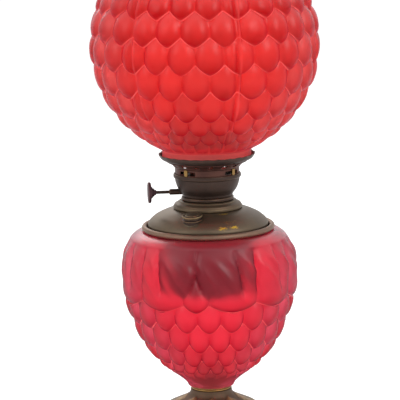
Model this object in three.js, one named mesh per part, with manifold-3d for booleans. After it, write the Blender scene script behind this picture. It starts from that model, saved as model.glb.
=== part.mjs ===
// A kerosene parlor lamp: a pierced cast base, a red glass body with a drop-in oil font, a
// central-draught burner with its wick raiser, and a ball shade of the same scale pattern.
// Millimetres, +Z up, the origin on the table at the middle of the base, the front towards -Y.
import * as THREE from 'three';
import { mergeVertices } from 'three/addons/utils/BufferGeometryUtils.js';
import Module from 'manifold-3d';

const wasm = await Module();
wasm.setup();

// Fits and walls shared by many pieces
const seatGap = 0.3;
const slideGap = 0.4;
const sheet = 1.2;
const overrun = 2;

// Cast base
const baseHeight = 86;
const footRadius = 94;
const waistRadius = 23.4;
const castWall = 4;
const bossHeight = 20;
const bossWall = 8.6;
const bossDrop = 2;
const windowCount = 8;
const windowWidth = 24;
const windowFoot = 20;
const windowHeight = 27;
const windowPullShare = 0.75;
const footCount = 4;
const archWidth = 74;
const archRise = 6;
const archPullShare = 0.33;
const cutFromShare = 0.4;

// Hollow stay that holds the glass body down on the base
const stayRadius = 9;
const stayWall = 2.1;
const stayThreadSpare = 4;
const nutWall = 6;
const nutHeight = 6;
const nutSides = 6;
const washerInset = 2;
const washerHeight = 1.5;
const checkRingInset = 0.5;
const checkRingHeight = 4;
const checkRingRound = 1.2;

// Glass body
const bodyRadius = 101.9;
const bodyLowerHeight = 131.4;
const bodyUpperHeight = 49.5;
const bodyFootRadius = 26;
const bodyWall = 3.6;
const bodyFloor = 6;
const bodyRelief = 5.6;
const bodyScales = 21;
const bodyTurn = -9.4;

// Ring cemented on the mouth of the body
const rollRadius = 3.2;
const rollInset = 3.4;
const rollFrom = -120;
const rollSweep = 270;
const skirtDepth = 12;
const skirtWall = 1.5;
const skirtInset = 2.8;
const ledgeWidth = 5;
const ledgeDrop = 0.6;

// Drop-in oil font
const fontRoom = 10.6;
const fontDepth = 76;
const fontCorner = 20;
const domeRise = 23.3;
const domeBulge = 0.9;
const domeSeatWidth = 11.5;
const domeFlank = 30.1;
const domeMouthInset = 2.5;
const draughtRadius = 13.6;
const draughtWall = 1;
const draughtBelow = 4;
const draughtAbove = 40;
const fillerOutShare = 0.498;
const fillerTurn = -19.2;
const fillerLean = 8;
const fillerRadius = 10.2;
const fillerWall = 1.3;
const fillerRise = 2.7;
const fillerDepth = 8;
const capRadius = 11.7;
const capHeight = 1.8;
const capPlugDepth = 4;
const capKnobRadius = 7;
const capKnobHeight = 0.6;
const gasketHeight = 0.6;

// Stepped collar of the font and the threaded ring of the burner
const collarHeight = 9.4;
const collarOverlap = 0.5;
const plugWall = 2;
const plugDepth = 10;
const flangeWidth = 3.1;
const flangeHeight = 4.2;

// Burner bowl, air deck and wick tubes
const bowlHeight = 25.8;
const bowlFootInset = 1.3;
const bowlLip = 1.7;
const deckDepth = 3.6;
const deckHoles = 14;
const deckHoleRadius = 2.8;
const deckHoleSides = 8;
const wickGap = 0.4;
const wickThickness = 2.6;
const wickLength = 137;
const wickAbove = 1;
const carrierWall = 1;
const carrierHeight = 12;
const carrierArmHeight = 2.4;
const wickTubeWall = 1;
const wickTubeHeight = 53.5;

// Wick raiser
const raiserTurn = 6;
const shaftRise = 5;
const shaftRadius = 1.8;
const shaftShown = 20.7;
const sleeveWall = 0.7;
const sleeveShown = 4.9;
const pinionTeeth = 10;
const pinionModule = 0.5;
const pinionLength = 3.2;
const pinionRootShare = 1.1;
const pinionToothShares = [0.3, 0.12];
const toothTipShare = 0.8;
const rackRootShare = 1.25;
const rackToothShares = [0.32, 0.12];
const rackWidth = 2.2;
const rackUp = 9;
const rackDown = 4;
const rackSpare = 2.4;
const rackRoom = 1.4;
const wheelRadius = 11.9;
const wheelHeight = 3.5;
const hubHeight = 6;
const hubRadius = 6.6;
const hubShares = [[0.45, 1], [0.5, 0.7], [0.72, 0.65], [0.75, 0.35], [1, 0.3]];
const wheelTeeth = 22;
const wheelToothDepth = 0.7;
const wheelToothShares = [0.34, 0.16];

// Flame spreader
const spreaderStem = 14;
const spreaderRise = 14;
const buttonRadius = 16;
const buttonHeight = 3;
const buttonCrownShare = 0.6;

// Gallery: windowed band, slotted cone, clips, springs and the ring that holds the shade
const bandHeight = 10.6;
const bandWindowShare = 0.4;
const bandWindowHeight = 4.6;
const bandWindowFoot = 4;
const clipWidth = 4.6;
const clipThickness = 1;
const clipTurns = [-40, 52, 142, 232];
const coneRise = 6.6;
const shelfWidth = 6;
const slotCount = 16;
const slotWidth = 4.4;
const slotInsetShare = 0.2;
const slotLengthShare = 0.62;
const ringSeatWidth = 5.4;
const ringFlare = 3.9;
const ringRise = 8.4;
const ringSeatShare = 0.285;
const springCount = 4;
const springTurn = 15;
const springWidth = 7;
const springHeight = 8;
const springThickness = 0.8;
const springRoom = 2.2;

// Chimney
const chimneyBaseRadius = 33;
const chimneyTopRadius = 21.2;
const chimneyHeight = 305;
const chimneyWall = 2;
const chimneyFootSpare = 1.2;

// Ball shade
const shadeRadius = 129.5;
const shadeNeckRadius = 50.3;
const shadeNeckHeight = 11.3;
const shadeTopRadius = 52;
const shadeRimHeight = 4.5;
const shadeWall = 3.2;
const shadeRelief = 6;
const shadeScales = 24;
const shadeTurn = 17.5;
const shadeEvenShare = 0.5;

// Sides of the round pieces, from the widest to the smallest
const wideSides = 32;
const middleSides = 28;
const tubeSides = 24;
const smallSides = 16;

// Radii of the nested tubes of the burner, from the draught tube out to the font's collar
const wickInner = draughtRadius + wickGap;
const wickOuter = wickInner + wickThickness;
const carrierOuter = wickOuter + seatGap + carrierWall;
const wickTubeInner = carrierOuter + wickGap;
const wickTubeOuter = wickTubeInner + wickTubeWall;
const rackInner = wickTubeOuter + slideGap;
const rackOuter = rackInner + pinionLength + seatGap;
const plugInner = rackOuter + rackRoom;
const plugOuter = plugInner + plugWall;
const collarBore = plugOuter + slideGap;
const flangeRadius = plugOuter + flangeWidth;
const pinionPitchRadius = pinionTeeth * pinionModule / 2;

// Radii of the stay, of the font and the glass mouth that takes it, and of the gallery
const stayHole = stayRadius + slideGap;
const bossRadius = stayHole + bossWall;
const nutRadius = stayRadius + nutWall;
const washerRadius = bodyFootRadius - bodyWall - washerInset;
const checkRingRadius = waistRadius - checkRingInset;
const domeSeatRadius = collarBore + domeSeatWidth;
const domeMouthRadius = collarBore + domeMouthInset;
const domeRadius = domeSeatRadius + domeFlank;
const collarRadius = domeSeatRadius + collarOverlap;
const fillerOut = domeSeatRadius + domeFlank * fillerOutShare;
const fontFlangeRadius = domeRadius - domeBulge;
const skirtInner = fontFlangeRadius + slideGap;
const skirtOuter = skirtInner + skirtWall;
const ledgeInner = skirtInner - ledgeWidth;
const fontRadius = ledgeInner - fontRoom;
const rollRing = skirtOuter + skirtInset;
const bodyMouthRadius = rollRing + rollInset;
const bandRadius = chimneyBaseRadius + slideGap + springThickness + springRoom;
const bowlRadius = bandRadius + slideGap + bowlLip;
const bowlFootRadius = flangeRadius - bowlFootInset;
const ringSeatRadius = shadeNeckRadius + slideGap;
const ringInner = ringSeatRadius - ringSeatWidth;
const coneRadius = ringInner - seatGap;
const ringRadius = ringSeatRadius + ringFlare;
const sleeveRadius = shaftRadius + slideGap + sleeveWall;
const sleeveReach = bowlRadius + sleeveShown;
const shaftReach = sleeveReach + shaftShown;

// Heights, each worked out from what carries the piece
const checkRingBottom = baseHeight + seatGap;
const bodyBottom = checkRingBottom + checkRingHeight + seatGap;
const bodyHeight = bodyLowerHeight + bodyUpperHeight;
const bodyTop = bodyBottom + bodyHeight;
const rollCentre = bodyTop + seatGap + rollRadius;
const ledgeTop = rollCentre - rollRadius - ledgeDrop;
const fontFlangeBottom = ledgeTop + seatGap;
const domeBottom = fontFlangeBottom + sheet + seatGap;
const domeTop = domeBottom + domeRise;
const collarBottom = domeTop + seatGap;
const collarTop = collarBottom + collarHeight;
const flangeBottom = collarTop + seatGap;
const bowlBottom = flangeBottom + flangeHeight + seatGap;
const bowlTop = bowlBottom + bowlHeight;
const deckBottom = bowlTop - deckDepth - sheet;
const bandBottom = deckBottom + sheet + seatGap;
const coneBottom = bandBottom + bandHeight + seatGap;
const chimneyBottom = coneBottom + sheet + seatGap;
const ringBottom = coneBottom + coneRise;
const shadeBottom = ringBottom + ringRise * ringSeatShare + seatGap;
const draughtBottom = fontFlangeBottom - fontDepth - draughtBelow;
const draughtTop = collarTop + draughtAbove + flangeHeight;
const wickTubeTop = draughtTop + wickAbove;
const shaftHeight = bowlBottom + shaftRise;

// Points and solids

function places(shares, inner, outer, bottom, height) {
  return shares.map(([out, up]) => [inner + (outer - inner) * out, bottom + height * up]);
}

// A closed outline turned around Z; the outline runs up its outer side.
function turned(points, segments) {
  const outline = points.map(([radius, height]) => new THREE.Vector2(radius, height));
  if (outline[0].x > 0 || outline[outline.length - 1].x > 0) outline.push(outline[0].clone());
  return new THREE.LatheGeometry(outline, segments).rotateX(Math.PI / 2);
}

// The inside of a wall: each point of the outer outline moved in by the wall, square to the outline.
function insideOf(points, wall) {
  return points.map(([radius, height], index) => {
    const before = points[Math.max(index - 1, 0)];
    const after = points[Math.min(index + 1, points.length - 1)];
    const run = new THREE.Vector2(after[0] - before[0], after[1] - before[1]).normalize();
    return [radius - run.y * wall, height + run.x * wall];
  });
}

function tube(inner, outer, bottom, top, segments) {
  return turned([[outer, bottom], [outer, top], [inner, top], [inner, bottom]], segments);
}

// A flat plate from an outline in X and Y, standing on the given height.
function plate(shape, bottom, height) {
  const geometry = new THREE.ExtrudeGeometry(shape, { depth: height, bevelEnabled: false });
  return geometry.translate(0, 0, bottom);
}

function polygon(radius, sides) {
  const shape = new THREE.Shape();
  for (let side = 0; side < sides; side += 1) {
    const angle = 2 * Math.PI * side / sides;
    shape[side ? 'lineTo' : 'moveTo'](radius * Math.cos(angle), radius * Math.sin(angle));
  }
  shape.closePath();
  return shape;
}

function holeIn(shape, radius, sides, x = 0, y = 0) {
  const rim = polygon(radius, sides).getPoints().map((point) => point.add(new THREE.Vector2(x, y)));
  shape.holes.push(new THREE.Path(rim.reverse()));
  return shape;
}

function solidOf(geometry) {
  const bare = geometry.clone();
  bare.deleteAttribute('normal');
  bare.deleteAttribute('uv');
  const merged = mergeVertices(bare);
  return new wasm.Manifold(new wasm.Mesh({
    numProp: 3,
    vertProperties: new Float32Array(merged.attributes.position.array),
    triVerts: new Uint32Array(merged.index.array),
  }));
}

function geometryOf(solid) {
  const mesh = solid.getMesh();
  const geometry = new THREE.BufferGeometry();
  geometry.setAttribute('position', new THREE.BufferAttribute(mesh.vertProperties, 3));
  geometry.setIndex(new THREE.BufferAttribute(mesh.triVerts, 1));
  geometry.computeVertexNormals();
  return geometry;
}

function cut(geometry, cutters) {
  let solid = solidOf(geometry);
  for (const cutter of cutters) solid = solid.subtract(solidOf(cutter));
  return geometryOf(solid);
}

function join(geometries) {
  const [first, ...rest] = geometries.map(solidOf);
  return geometryOf(rest.reduce((whole, next) => whole.add(next), first));
}

// Carries a shape drawn across X and up Z out along -Y, the front, then turns it around Z.
function outwards(shape, from, to, turn, curveSegments) {
  const geometry = new THREE.ExtrudeGeometry(shape, {
    depth: to - from, bevelEnabled: false, curveSegments,
  });
  return geometry.rotateX(Math.PI / 2).translate(0, -from, 0).rotateZ(turn);
}

function rectangle(left, bottom, right, top) {
  const shape = new THREE.Shape();
  shape.moveTo(left, bottom);
  shape.lineTo(right, bottom);
  shape.lineTo(right, top);
  shape.lineTo(left, top);
  shape.closePath();
  return shape;
}

const degrees = Math.PI / 180;

// Finishes

function castBrass() {
  return new THREE.MeshStandardMaterial({ color: 0x6f5f4c, roughness: 0.5, metalness: 0.8 });
}

function agedBrass() {
  return new THREE.MeshStandardMaterial({ color: 0x6b5a48, roughness: 0.42, metalness: 0.85 });
}

function darkBrass() {
  return new THREE.MeshStandardMaterial({ color: 0x4a3c31, roughness: 0.45, metalness: 0.8 });
}

function brightBrass() {
  return new THREE.MeshStandardMaterial({ color: 0xb08d4a, roughness: 0.3, metalness: 0.9 });
}

function redGlass() {
  return new THREE.MeshStandardMaterial({ color: 0xd22630, roughness: 0.35, metalness: 0 });
}

function clearGlass() {
  return new THREE.MeshStandardMaterial({
    color: 0xe8f0f0, roughness: 0.05, metalness: 0, transparent: true, opacity: 0.35,
  });
}

function cotton() {
  return new THREE.MeshStandardMaterial({ color: 0xd9cfb8, roughness: 0.95, metalness: 0 });
}

function leather() {
  return new THREE.MeshStandardMaterial({ color: 0x5a3b28, roughness: 0.9, metalness: 0 });
}

const group = new THREE.Group();

function place(name, geometry, material, parent = group) {
  const mesh = new THREE.Mesh(geometry, material);
  mesh.name = name;
  parent.add(mesh);
  return mesh;
}

// The scale pattern, shared by the body and the shade

// How far the glass stands out at a place, as a share of the relief. Rows of scales are counted
// upward from the lowest tips and scales are counted around; each row is half a scale round from
// the next, and its tips lie over the row below. A scale swells from its tip to its middle, sinks
// again towards the row above, and falls off to both sides.
const tipShare = 0.36;
const swellShares = [0.45, 0.5];
const middleShare = 0.5;
const valleyShares = [0.55, 0.3];
const sideRound = 2.3;

function scaleShare(round, rows) {
  const row = Math.floor(rows);
  const up = rows - row;
  const turns = round - (row % 2 === 0 ? 0 : 0.5);
  const aside = Math.abs(turns - Math.round(turns));
  const edge = 0.5 * Math.sin(Math.PI / 2 * Math.min(1, up / tipShare));
  const onTop = aside <= edge;
  const fromMiddle = onTop ? aside : 0.5 - aside;
  const fromTip = onTop ? up : up + 1;
  const away = (fromTip - middleShare) / middleShare;
  const proud = 1 - swellShares[away < 0 ? 0 : 1] * away ** 2;
  const valley = valleyShares[0] + valleyShares[1] * fromTip;
  return Math.max(0, proud * (1 - valley * (2 * fromMiddle) ** sideRound));
}

function between(table, value, from, to) {
  let index = 1;
  while (index < table.length - 1 && table[index][from] < value) index += 1;
  const [low, high] = [table[index - 1], table[index]];
  const part = (value - low[from]) / (high[from] - low[from]);
  return low[to] + (high[to] - low[to]) * part;
}

// Sets the outer skin of a turned glass shell in by what its pattern leaves out.
function press(geometry, reliefAt) {
  const at = geometry.attributes.position;
  const spot = new THREE.Vector3();
  for (let index = 0; index < at.count; index += 1) {
    spot.fromBufferAttribute(at, index);
    const radius = Math.hypot(spot.x, spot.y);
    const angle = Math.atan2(spot.x, -spot.y) / degrees;
    const inset = reliefAt(radius, angle, spot.z);
    const scale = (radius - inset) / radius;
    at.setXYZ(index, spot.x * scale, spot.y * scale, spot.z);
  }
  geometry.computeVertexNormals();
  return geometry;
}

// Cast base

const baseShares = [
  [1, 0], [1, 0.07], [0.915, 0.116], [0.816, 0.2], [0.73, 0.325], [0.674, 0.465], [0.625, 0.58],
  [0.554, 0.675], [0.426, 0.757], [0.221, 0.834], [0.108, 0.879], [0.037, 0.919], [0, 1],
];
const baseHollowPoints = 9;
const curvePoints = 3;

function windowShape() {
  const shape = new THREE.Shape();
  const half = windowWidth / 2;
  const middle = windowFoot + windowHeight / 2;
  const pull = windowFoot + windowHeight * windowPullShare;
  shape.moveTo(0, windowFoot);
  shape.quadraticCurveTo(half, windowFoot, half, middle);
  shape.quadraticCurveTo(half / 2, pull, 0, windowFoot + windowHeight);
  shape.quadraticCurveTo(-half / 2, pull, -half, middle);
  shape.quadraticCurveTo(-half, windowFoot, 0, windowFoot);
  return shape;
}

function archShape() {
  const shape = new THREE.Shape();
  const pull = archWidth * archPullShare;
  shape.moveTo(-archWidth / 2, -overrun);
  shape.lineTo(archWidth / 2, -overrun);
  shape.quadraticCurveTo(pull, archRise, 0, archRise);
  shape.quadraticCurveTo(-pull, archRise, -archWidth / 2, -overrun);
  return shape;
}

function baseCasting() {
  const outer = places(baseShares, waistRadius, footRadius, 0, baseHeight);
  const hollow = insideOf(outer, castWall).slice(1, baseHollowPoints).reverse();
  const bossBottom = baseHeight - bossHeight;
  const body = turned([
    ...outer, [stayHole, baseHeight], [stayHole, bossBottom], [bossRadius, bossBottom],
    [bossRadius + bossDrop, bossBottom + bossDrop], ...hollow, [footRadius - castWall, 0],
  ], wideSides);
  const [from, to] = [footRadius * cutFromShare, footRadius + overrun];
  const cutters = [];
  for (let index = 0; index < windowCount; index += 1) {
    const turn = 2 * Math.PI * (index + 1 / 2) / windowCount;
    cutters.push(outwards(windowShape(), from, to, turn, curvePoints));
  }
  for (let index = 0; index < footCount; index += 1) {
    const turn = 2 * Math.PI * index / footCount;
    cutters.push(outwards(archShape(), from, to, turn, curvePoints));
  }
  return cut(body, cutters);
}

// Hollow stay, its nuts and washer, and the bright ring under the glass

function hexNut(bottom) {
  return plate(holeIn(polygon(nutRadius, nutSides), stayHole, tubeSides), bottom, nutHeight);
}

function checkRing() {
  const low = checkRingBottom;
  const high = checkRingBottom + checkRingHeight;
  return turned([
    [checkRingRadius - checkRingRound, low], [checkRingRadius, low + checkRingRound],
    [checkRingRadius, high - checkRingRound], [checkRingRadius - checkRingRound, high],
    [stayHole, high], [stayHole, low],
  ], wideSides);
}

// Glass body

const bodyLowerShares = [
  [0, 0], [0.026, 0.025], [0.108, 0.07], [0.208, 0.115], [0.31, 0.155], [0.376, 0.186],
  [0.503, 0.262], [0.6, 0.327], [0.659, 0.376], [0.725, 0.441], [0.768, 0.498], [0.817, 0.566],
  [0.863, 0.642], [0.909, 0.718], [0.949, 0.795], [0.979, 0.871], [0.996, 0.947], [1, 1],
];
const bodyUpperShares = [
  [1, 0], [0.988, 0.162], [0.958, 0.308], [0.9, 0.446], [0.812, 0.574], [0.728, 0.667],
  [0.64, 0.75], [0.54, 0.826], [0.41, 0.898], [0.276, 0.95], [0.142, 0.983], [0, 1],
];
// Where the tips of each row lie, as shares of the glass's height
const bodyRowShares = [
  [-1, 0], [0, 0.055], [1, 0.11], [2, 0.165], [3, 0.276], [4, 0.42], [5, 0.564], [6, 0.682],
  [7, 0.826], [8, 0.947], [9, 1],
];
const bodyCutShares = [
  -1, -0.5, 0.12, 0.86, 1.12, 1.86, 2.12, 2.5, 2.86, 3.12, 3.5, 3.86, 4.12, 4.5, 4.86, 5.12, 5.5,
  5.86, 6.3, 7, 8, 8.5, 9,
];
const bodyInnerEvery = 4;
const bodySides = bodyScales * 2;
// The long leaves of the shoulder: their edges, in scales, along a third of the way round, and
// the rows between which their tips widen and their grooves fade
const leafEdgeShares = [0, 1.5, 3.5, 5.5, 7];
const leafPatterns = 3;
const leafTipRowShare = 5.7;
const leafEndRowShare = 8;
const lastScaleShare = 5.99;
const leafGrooveShare = 0.8;
const footRiseShare = 0.2;
const leafTipLengthShare = 0.9;
const leafPointShare = 0.3;

function bodyCrest() {
  const lower = places(bodyLowerShares, bodyFootRadius, bodyRadius, bodyBottom, bodyLowerHeight);
  const middle = bodyBottom + bodyLowerHeight;
  const upper = places(bodyUpperShares, bodyMouthRadius, bodyRadius, middle, bodyUpperHeight);
  return [...lower, ...upper.slice(1)];
}

// The long leaves fade out into the smooth shoulder and end in pointed tips over the scales.
function bodyShare(angle, rows) {
  const round = (angle - bodyTurn) / 360 * bodyScales;
  if (rows < 0) return 1 + rows * footRiseShare;
  const scale = scaleShare(round + 1 / 2, Math.min(rows, lastScaleShare));
  if (rows < leafTipRowShare) return scale;
  const third = bodyScales / leafPatterns;
  const along = ((round % third) + third) % third;
  const leaf = leafEdgeShares.findIndex((edge, index) => along < leafEdgeShares[index + 1]);
  const [left, right] = [leafEdgeShares[leaf], leafEdgeShares[leaf + 1]];
  const aside = Math.abs(2 * (along - left) / (right - left) - 1);
  const fade = Math.min(1, Math.max(0, leafEndRowShare - rows));
  const width = Math.min(1, (rows - leafTipRowShare) / leafTipLengthShare);
  if (aside > Math.max(width, leafPointShare)) return scale;
  return 1 - fade * leafGrooveShare * aside ** 2;
}

function bodyGlass() {
  const crest = bodyCrest();
  const heights = bodyCutShares.map((row) => (
    bodyBottom + bodyHeight * between(bodyRowShares, row, 0, 1)));
  const outer = heights.map((height) => [between(crest, height, 1, 0), height]);
  const inner = insideOf(crest, bodyWall + bodyRelief).slice(1, -1)
    .filter((point, index) => index % bodyInnerEvery === bodyInnerEvery - 1).reverse();
  const mouth = [bodyMouthRadius - bodyWall, bodyTop];
  const floorTop = bodyBottom + bodyFloor;
  const shell = turned([
    ...outer, mouth, ...inner, [bodyFootRadius - bodyWall, floorTop], [stayHole, floorTop],
    [stayHole, bodyBottom],
  ], bodySides);
  shell.rotateZ(bodyTurn * degrees);
  return press(shell, (radius, angle, height) => {
    const skin = between(crest, height, 1, 0);
    const share = (height - bodyBottom) / bodyHeight;
    if (radius < skin - bodyWall / 2 || share <= 0 || share >= 1) return 0;
    const rows = between(bodyRowShares.map(([row, up]) => [up, row]), share, 0, 1);
    return bodyRelief * (1 - bodyShare(angle, rows));
  });
}

// Ring on the mouth of the body: a rolled bead, a skirt inside the glass and a ledge for the font

const rollPoints = 7;

function vaseRing() {
  const points = [];
  for (let step = 0; step <= rollPoints; step += 1) {
    const angle = (rollFrom + rollSweep * step / rollPoints) * degrees;
    points.push([
      rollRing + rollRadius * Math.cos(angle), rollCentre + rollRadius * Math.sin(angle),
    ]);
  }
  const skirtBottom = rollCentre - skirtDepth;
  return turned([
    [skirtOuter, skirtBottom], [skirtOuter, rollCentre - rollRadius], ...points,
    [skirtInner, ledgeTop], [ledgeInner, ledgeTop], [ledgeInner, ledgeTop - sheet],
    [skirtInner, ledgeTop - sheet], [skirtInner, skirtBottom],
  ], wideSides);
}

// Oil font: bowl, dome, draught tube, filler and collar

const cornerPoints = 4;

function fontBowl() {
  const bottom = fontFlangeBottom - fontDepth;
  const hole = draughtRadius + seatGap;
  const corner = [];
  const inside = [];
  const [across, up] = [fontRadius - fontCorner, bottom + fontCorner];
  const innerCorner = fontCorner - sheet;
  for (let step = 0; step <= cornerPoints; step += 1) {
    const angle = -Math.PI / 2 * (1 - step / cornerPoints);
    const [cosine, sine] = [Math.cos(angle), Math.sin(angle)];
    corner.push([across + fontCorner * cosine, up + fontCorner * sine]);
    inside.unshift([across + innerCorner * cosine, up + innerCorner * sine]);
  }
  return turned([
    [hole, bottom], ...corner, [fontRadius, fontFlangeBottom],
    [fontFlangeRadius, fontFlangeBottom], [fontFlangeRadius, fontFlangeBottom + sheet],
    [fontRadius - sheet, fontFlangeBottom + sheet], ...inside, [hole, bottom + sheet],
  ], middleSides);
}

const domeShares = [
  [0.957, 0], [1, 0.25], [0.957, 0.37], [0.874, 0.493], [0.761, 0.616], [0.671, 0.697],
  [0.515, 0.796], [0.249, 0.934], [0, 1],
];

function domeOutline() {
  return places(domeShares, domeSeatRadius, domeRadius, domeBottom, domeRise);
}

function fillerSpot() {
  const angle = fillerTurn * degrees;
  return [fillerOut * Math.sin(angle), -fillerOut * Math.cos(angle)];
}

function fontDome() {
  const outer = domeOutline();
  const inner = insideOf(outer, sheet).reverse();
  const shell = turned([
    ...outer, [domeMouthRadius, domeTop], [domeMouthRadius, domeTop - sheet],
    ...inner.slice(0, -1).filter((point, index) => index % 2 === 0), [inner.at(-1)[0], domeBottom],
  ], wideSides);
  const hole = new THREE.CylinderGeometry(
    fillerRadius + seatGap, fillerRadius + seatGap, domeRise * 2, tubeSides);
  hole.rotateX(Math.PI / 2 + fillerLean * degrees).rotateZ(fillerTurn * degrees);
  return cut(shell, [hole.translate(...fillerSpot(), fillerFloor())]);
}

function fillerFloor() {
  return between(domeOutline().reverse(), fillerOut, 0, 1);
}

// The neck, gasket and cap are drawn about their own axis, from where it crosses the dome.
function fillerNeck() {
  return tube(fillerRadius - fillerWall, fillerRadius, -fillerDepth, fillerRise, tubeSides);
}

function capGasket() {
  const bottom = fillerRise + seatGap;
  return tube(fillerRadius - fillerWall, fillerRadius, bottom, bottom + gasketHeight, tubeSides);
}

// A plug inside the neck centres the cap.
function fillerCap() {
  const bottom = fillerRise + seatGap * 2 + gasketHeight;
  const top = bottom + capHeight;
  const plug = fillerRadius - fillerWall - slideGap;
  return turned([
    [0, bottom - capPlugDepth], [plug, bottom - capPlugDepth], [plug, bottom],
    [capRadius, bottom], [capRadius, top - capHeight / 3], [capRadius - capHeight / 3, top],
    [capKnobRadius, top], [capKnobRadius - capKnobHeight, top + capKnobHeight],
    [0, top + capKnobHeight],
  ], tubeSides);
}

const collarShares = [
  [0.96, 0], [1, 0.1], [1, 0.34], [0.87, 0.6], [0.53, 0.82], [0.36, 0.93], [0.33, 1],
];

function fontCollar() {
  return turned([
    ...places(collarShares, collarBore, collarRadius, collarBottom, collarHeight),
    [collarBore, collarTop], [collarBore, collarBottom],
  ], middleSides);
}

// Burner

function burnerRing() {
  const top = flangeBottom + flangeHeight;
  const round = flangeHeight / 4;
  return turned([
    [plugOuter, flangeBottom - plugDepth], [plugOuter, flangeBottom],
    [flangeRadius - round, flangeBottom], [flangeRadius, flangeBottom + round],
    [flangeRadius, top - round], [flangeRadius - round, top], [plugInner, top],
    [plugInner, flangeBottom - plugDepth],
  ], middleSides);
}

const bowlShares = [
  [0, 0], [0.05, 0.105], [0.29, 0.22], [0.485, 0.325], [0.635, 0.47], [0.79, 0.7],
  [0.85, 0.785], [0.97, 0.85], [1, 0.93], [0.93, 1],
];

function burnerBowl() {
  const outer = places(bowlShares, bowlFootRadius, bowlRadius, bowlBottom, bowlHeight);
  const inner = insideOf(outer, sheet).slice(1, -1).reverse();
  const lip = bandRadius + slideGap;
  const shell = turned([
    ...outer, [lip, bowlTop], [lip, bowlTop - sheet / 2], ...inner,
    [plugInner, bowlBottom + sheet], [plugInner, bowlBottom],
  ], middleSides);
  const hole = new THREE.CylinderGeometry(
    sleeveRadius + seatGap, sleeveRadius + seatGap, bowlRadius, smallSides);
  hole.rotateZ(Math.PI / 2).translate(-bowlRadius, 0, shaftHeight).rotateZ(raiserTurn * degrees);
  return cut(shell, [hole]);
}

function airDeck() {
  const outer = between(
    places(bowlShares, bowlFootRadius, bowlRadius, bowlBottom, bowlHeight), deckBottom, 1, 0);
  const rim = outer - sheet - seatGap * 2;
  const shape = holeIn(polygon(rim, wideSides), wickTubeOuter + seatGap, tubeSides);
  const ring = (rim + wickTubeOuter) / 2;
  for (let index = 0; index < deckHoles; index += 1) {
    const angle = 2 * Math.PI * index / deckHoles;
    const [x, y] = [ring * Math.cos(angle), ring * Math.sin(angle)];
    holeIn(shape, deckHoleRadius, deckHoleSides, x, y);
  }
  return plate(shape, deckBottom, sheet);
}

// Wick, its carrier with the toothed rack, and the raiser that drives it

function wickBottom() {
  return wickTubeTop + wickAbove - wickLength;
}

// The carrier grips the wick low down, and an arm under the wick tube joins it to the rack.
function wickCarrier() {
  const tubeBottom = wickTubeTop - wickTubeHeight;
  const armTop = tubeBottom - rackUp - slideGap * 2;
  const armBottom = armTop - carrierArmHeight;
  const bandInner = wickOuter + seatGap;
  const band = tube(bandInner, carrierOuter, armBottom, armBottom + carrierHeight, tubeSides);
  const pitch = Math.PI * pinionModule;
  const meshGap = slideGap / 2;
  const pitchLine = pinionPitchRadius + meshGap;
  const root = pitchLine + pinionModule * rackRootShare;
  const tip = pitchLine - pinionModule * toothTipShare;
  const [footHalf, tipHalf] = rackToothShares.map((share) => pitch * share);
  const back = root + rackWidth;
  const rackTop = shaftHeight + rackDown + rackSpare;
  const shape = new THREE.Shape();
  shape.moveTo(back, armBottom);
  shape.lineTo(back, rackTop);
  shape.lineTo(root, rackTop);
  const toothedLength = rackUp + rackDown + rackSpare * 2;
  const teeth = Math.floor(toothedLength / pitch);
  // A tooth of the rack lies in the gap of the pinion that faces it.
  const first = shaftHeight + pitch * Math.floor((rackDown + rackSpare) / pitch - 1 / 2);
  for (let tooth = 0; tooth < teeth; tooth += 1) {
    const middle = first - pitch * tooth;
    shape.lineTo(root, middle + footHalf);
    shape.lineTo(tip, middle + tipHalf);
    shape.lineTo(tip, middle - tipHalf);
    shape.lineTo(root, middle - footHalf);
  }
  shape.lineTo(root, armBottom);
  shape.closePath();
  const rack = outwards(shape, rackInner, rackOuter, -Math.PI / 2, 1);
  const armShape = rectangle(tip, armBottom, back, armTop);
  const arm = outwards(armShape, (bandInner + carrierOuter) / 2, rackOuter, -Math.PI / 2, 1);
  return join([band, rack, arm]);
}

// A toothed outline; the shares give each tooth's half widths at its foot and tip, per pitch.
function gearOutline(teeth, root, tip, [footHalf, tipHalf]) {
  const shape = new THREE.Shape();
  const pitch = 2 * Math.PI / teeth;
  for (let tooth = 0; tooth < teeth; tooth += 1) {
    const middle = pitch * tooth;
    const corners = [
      [root, -footHalf], [tip, -tipHalf], [tip, tipHalf], [root, footHalf],
    ];
    corners.forEach(([radius, share], index) => {
      const angle = middle + pitch * share;
      const point = [radius * Math.cos(angle), radius * Math.sin(angle)];
      shape[tooth || index ? 'lineTo' : 'moveTo'](...point);
    });
  }
  shape.closePath();
  return shape;
}

// Drawn lying along X from the lamp's axis outward to -X.
function raiserShaft() {
  const root = pinionPitchRadius - pinionModule * pinionRootShare;
  const tip = pinionPitchRadius + pinionModule * toothTipShare;
  const outline = gearOutline(pinionTeeth, root, tip, pinionToothShares);
  const pinion = plate(outline, rackInner, pinionLength);
  const from = rackInner + pinionLength / 2;
  const shaft = new THREE.CylinderGeometry(shaftRadius, shaftRadius, shaftReach - from, smallSides);
  shaft.rotateX(Math.PI / 2).translate(0, 0, (shaftReach + from) / 2);
  return join([pinion, shaft]).rotateY(-Math.PI / 2);
}

function raiserSleeve() {
  const inner = rackOuter + seatGap * 2;
  return tube(
    shaftRadius + slideGap, sleeveRadius, inner, sleeveReach, smallSides,
  ).rotateY(-Math.PI / 2);
}

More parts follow.
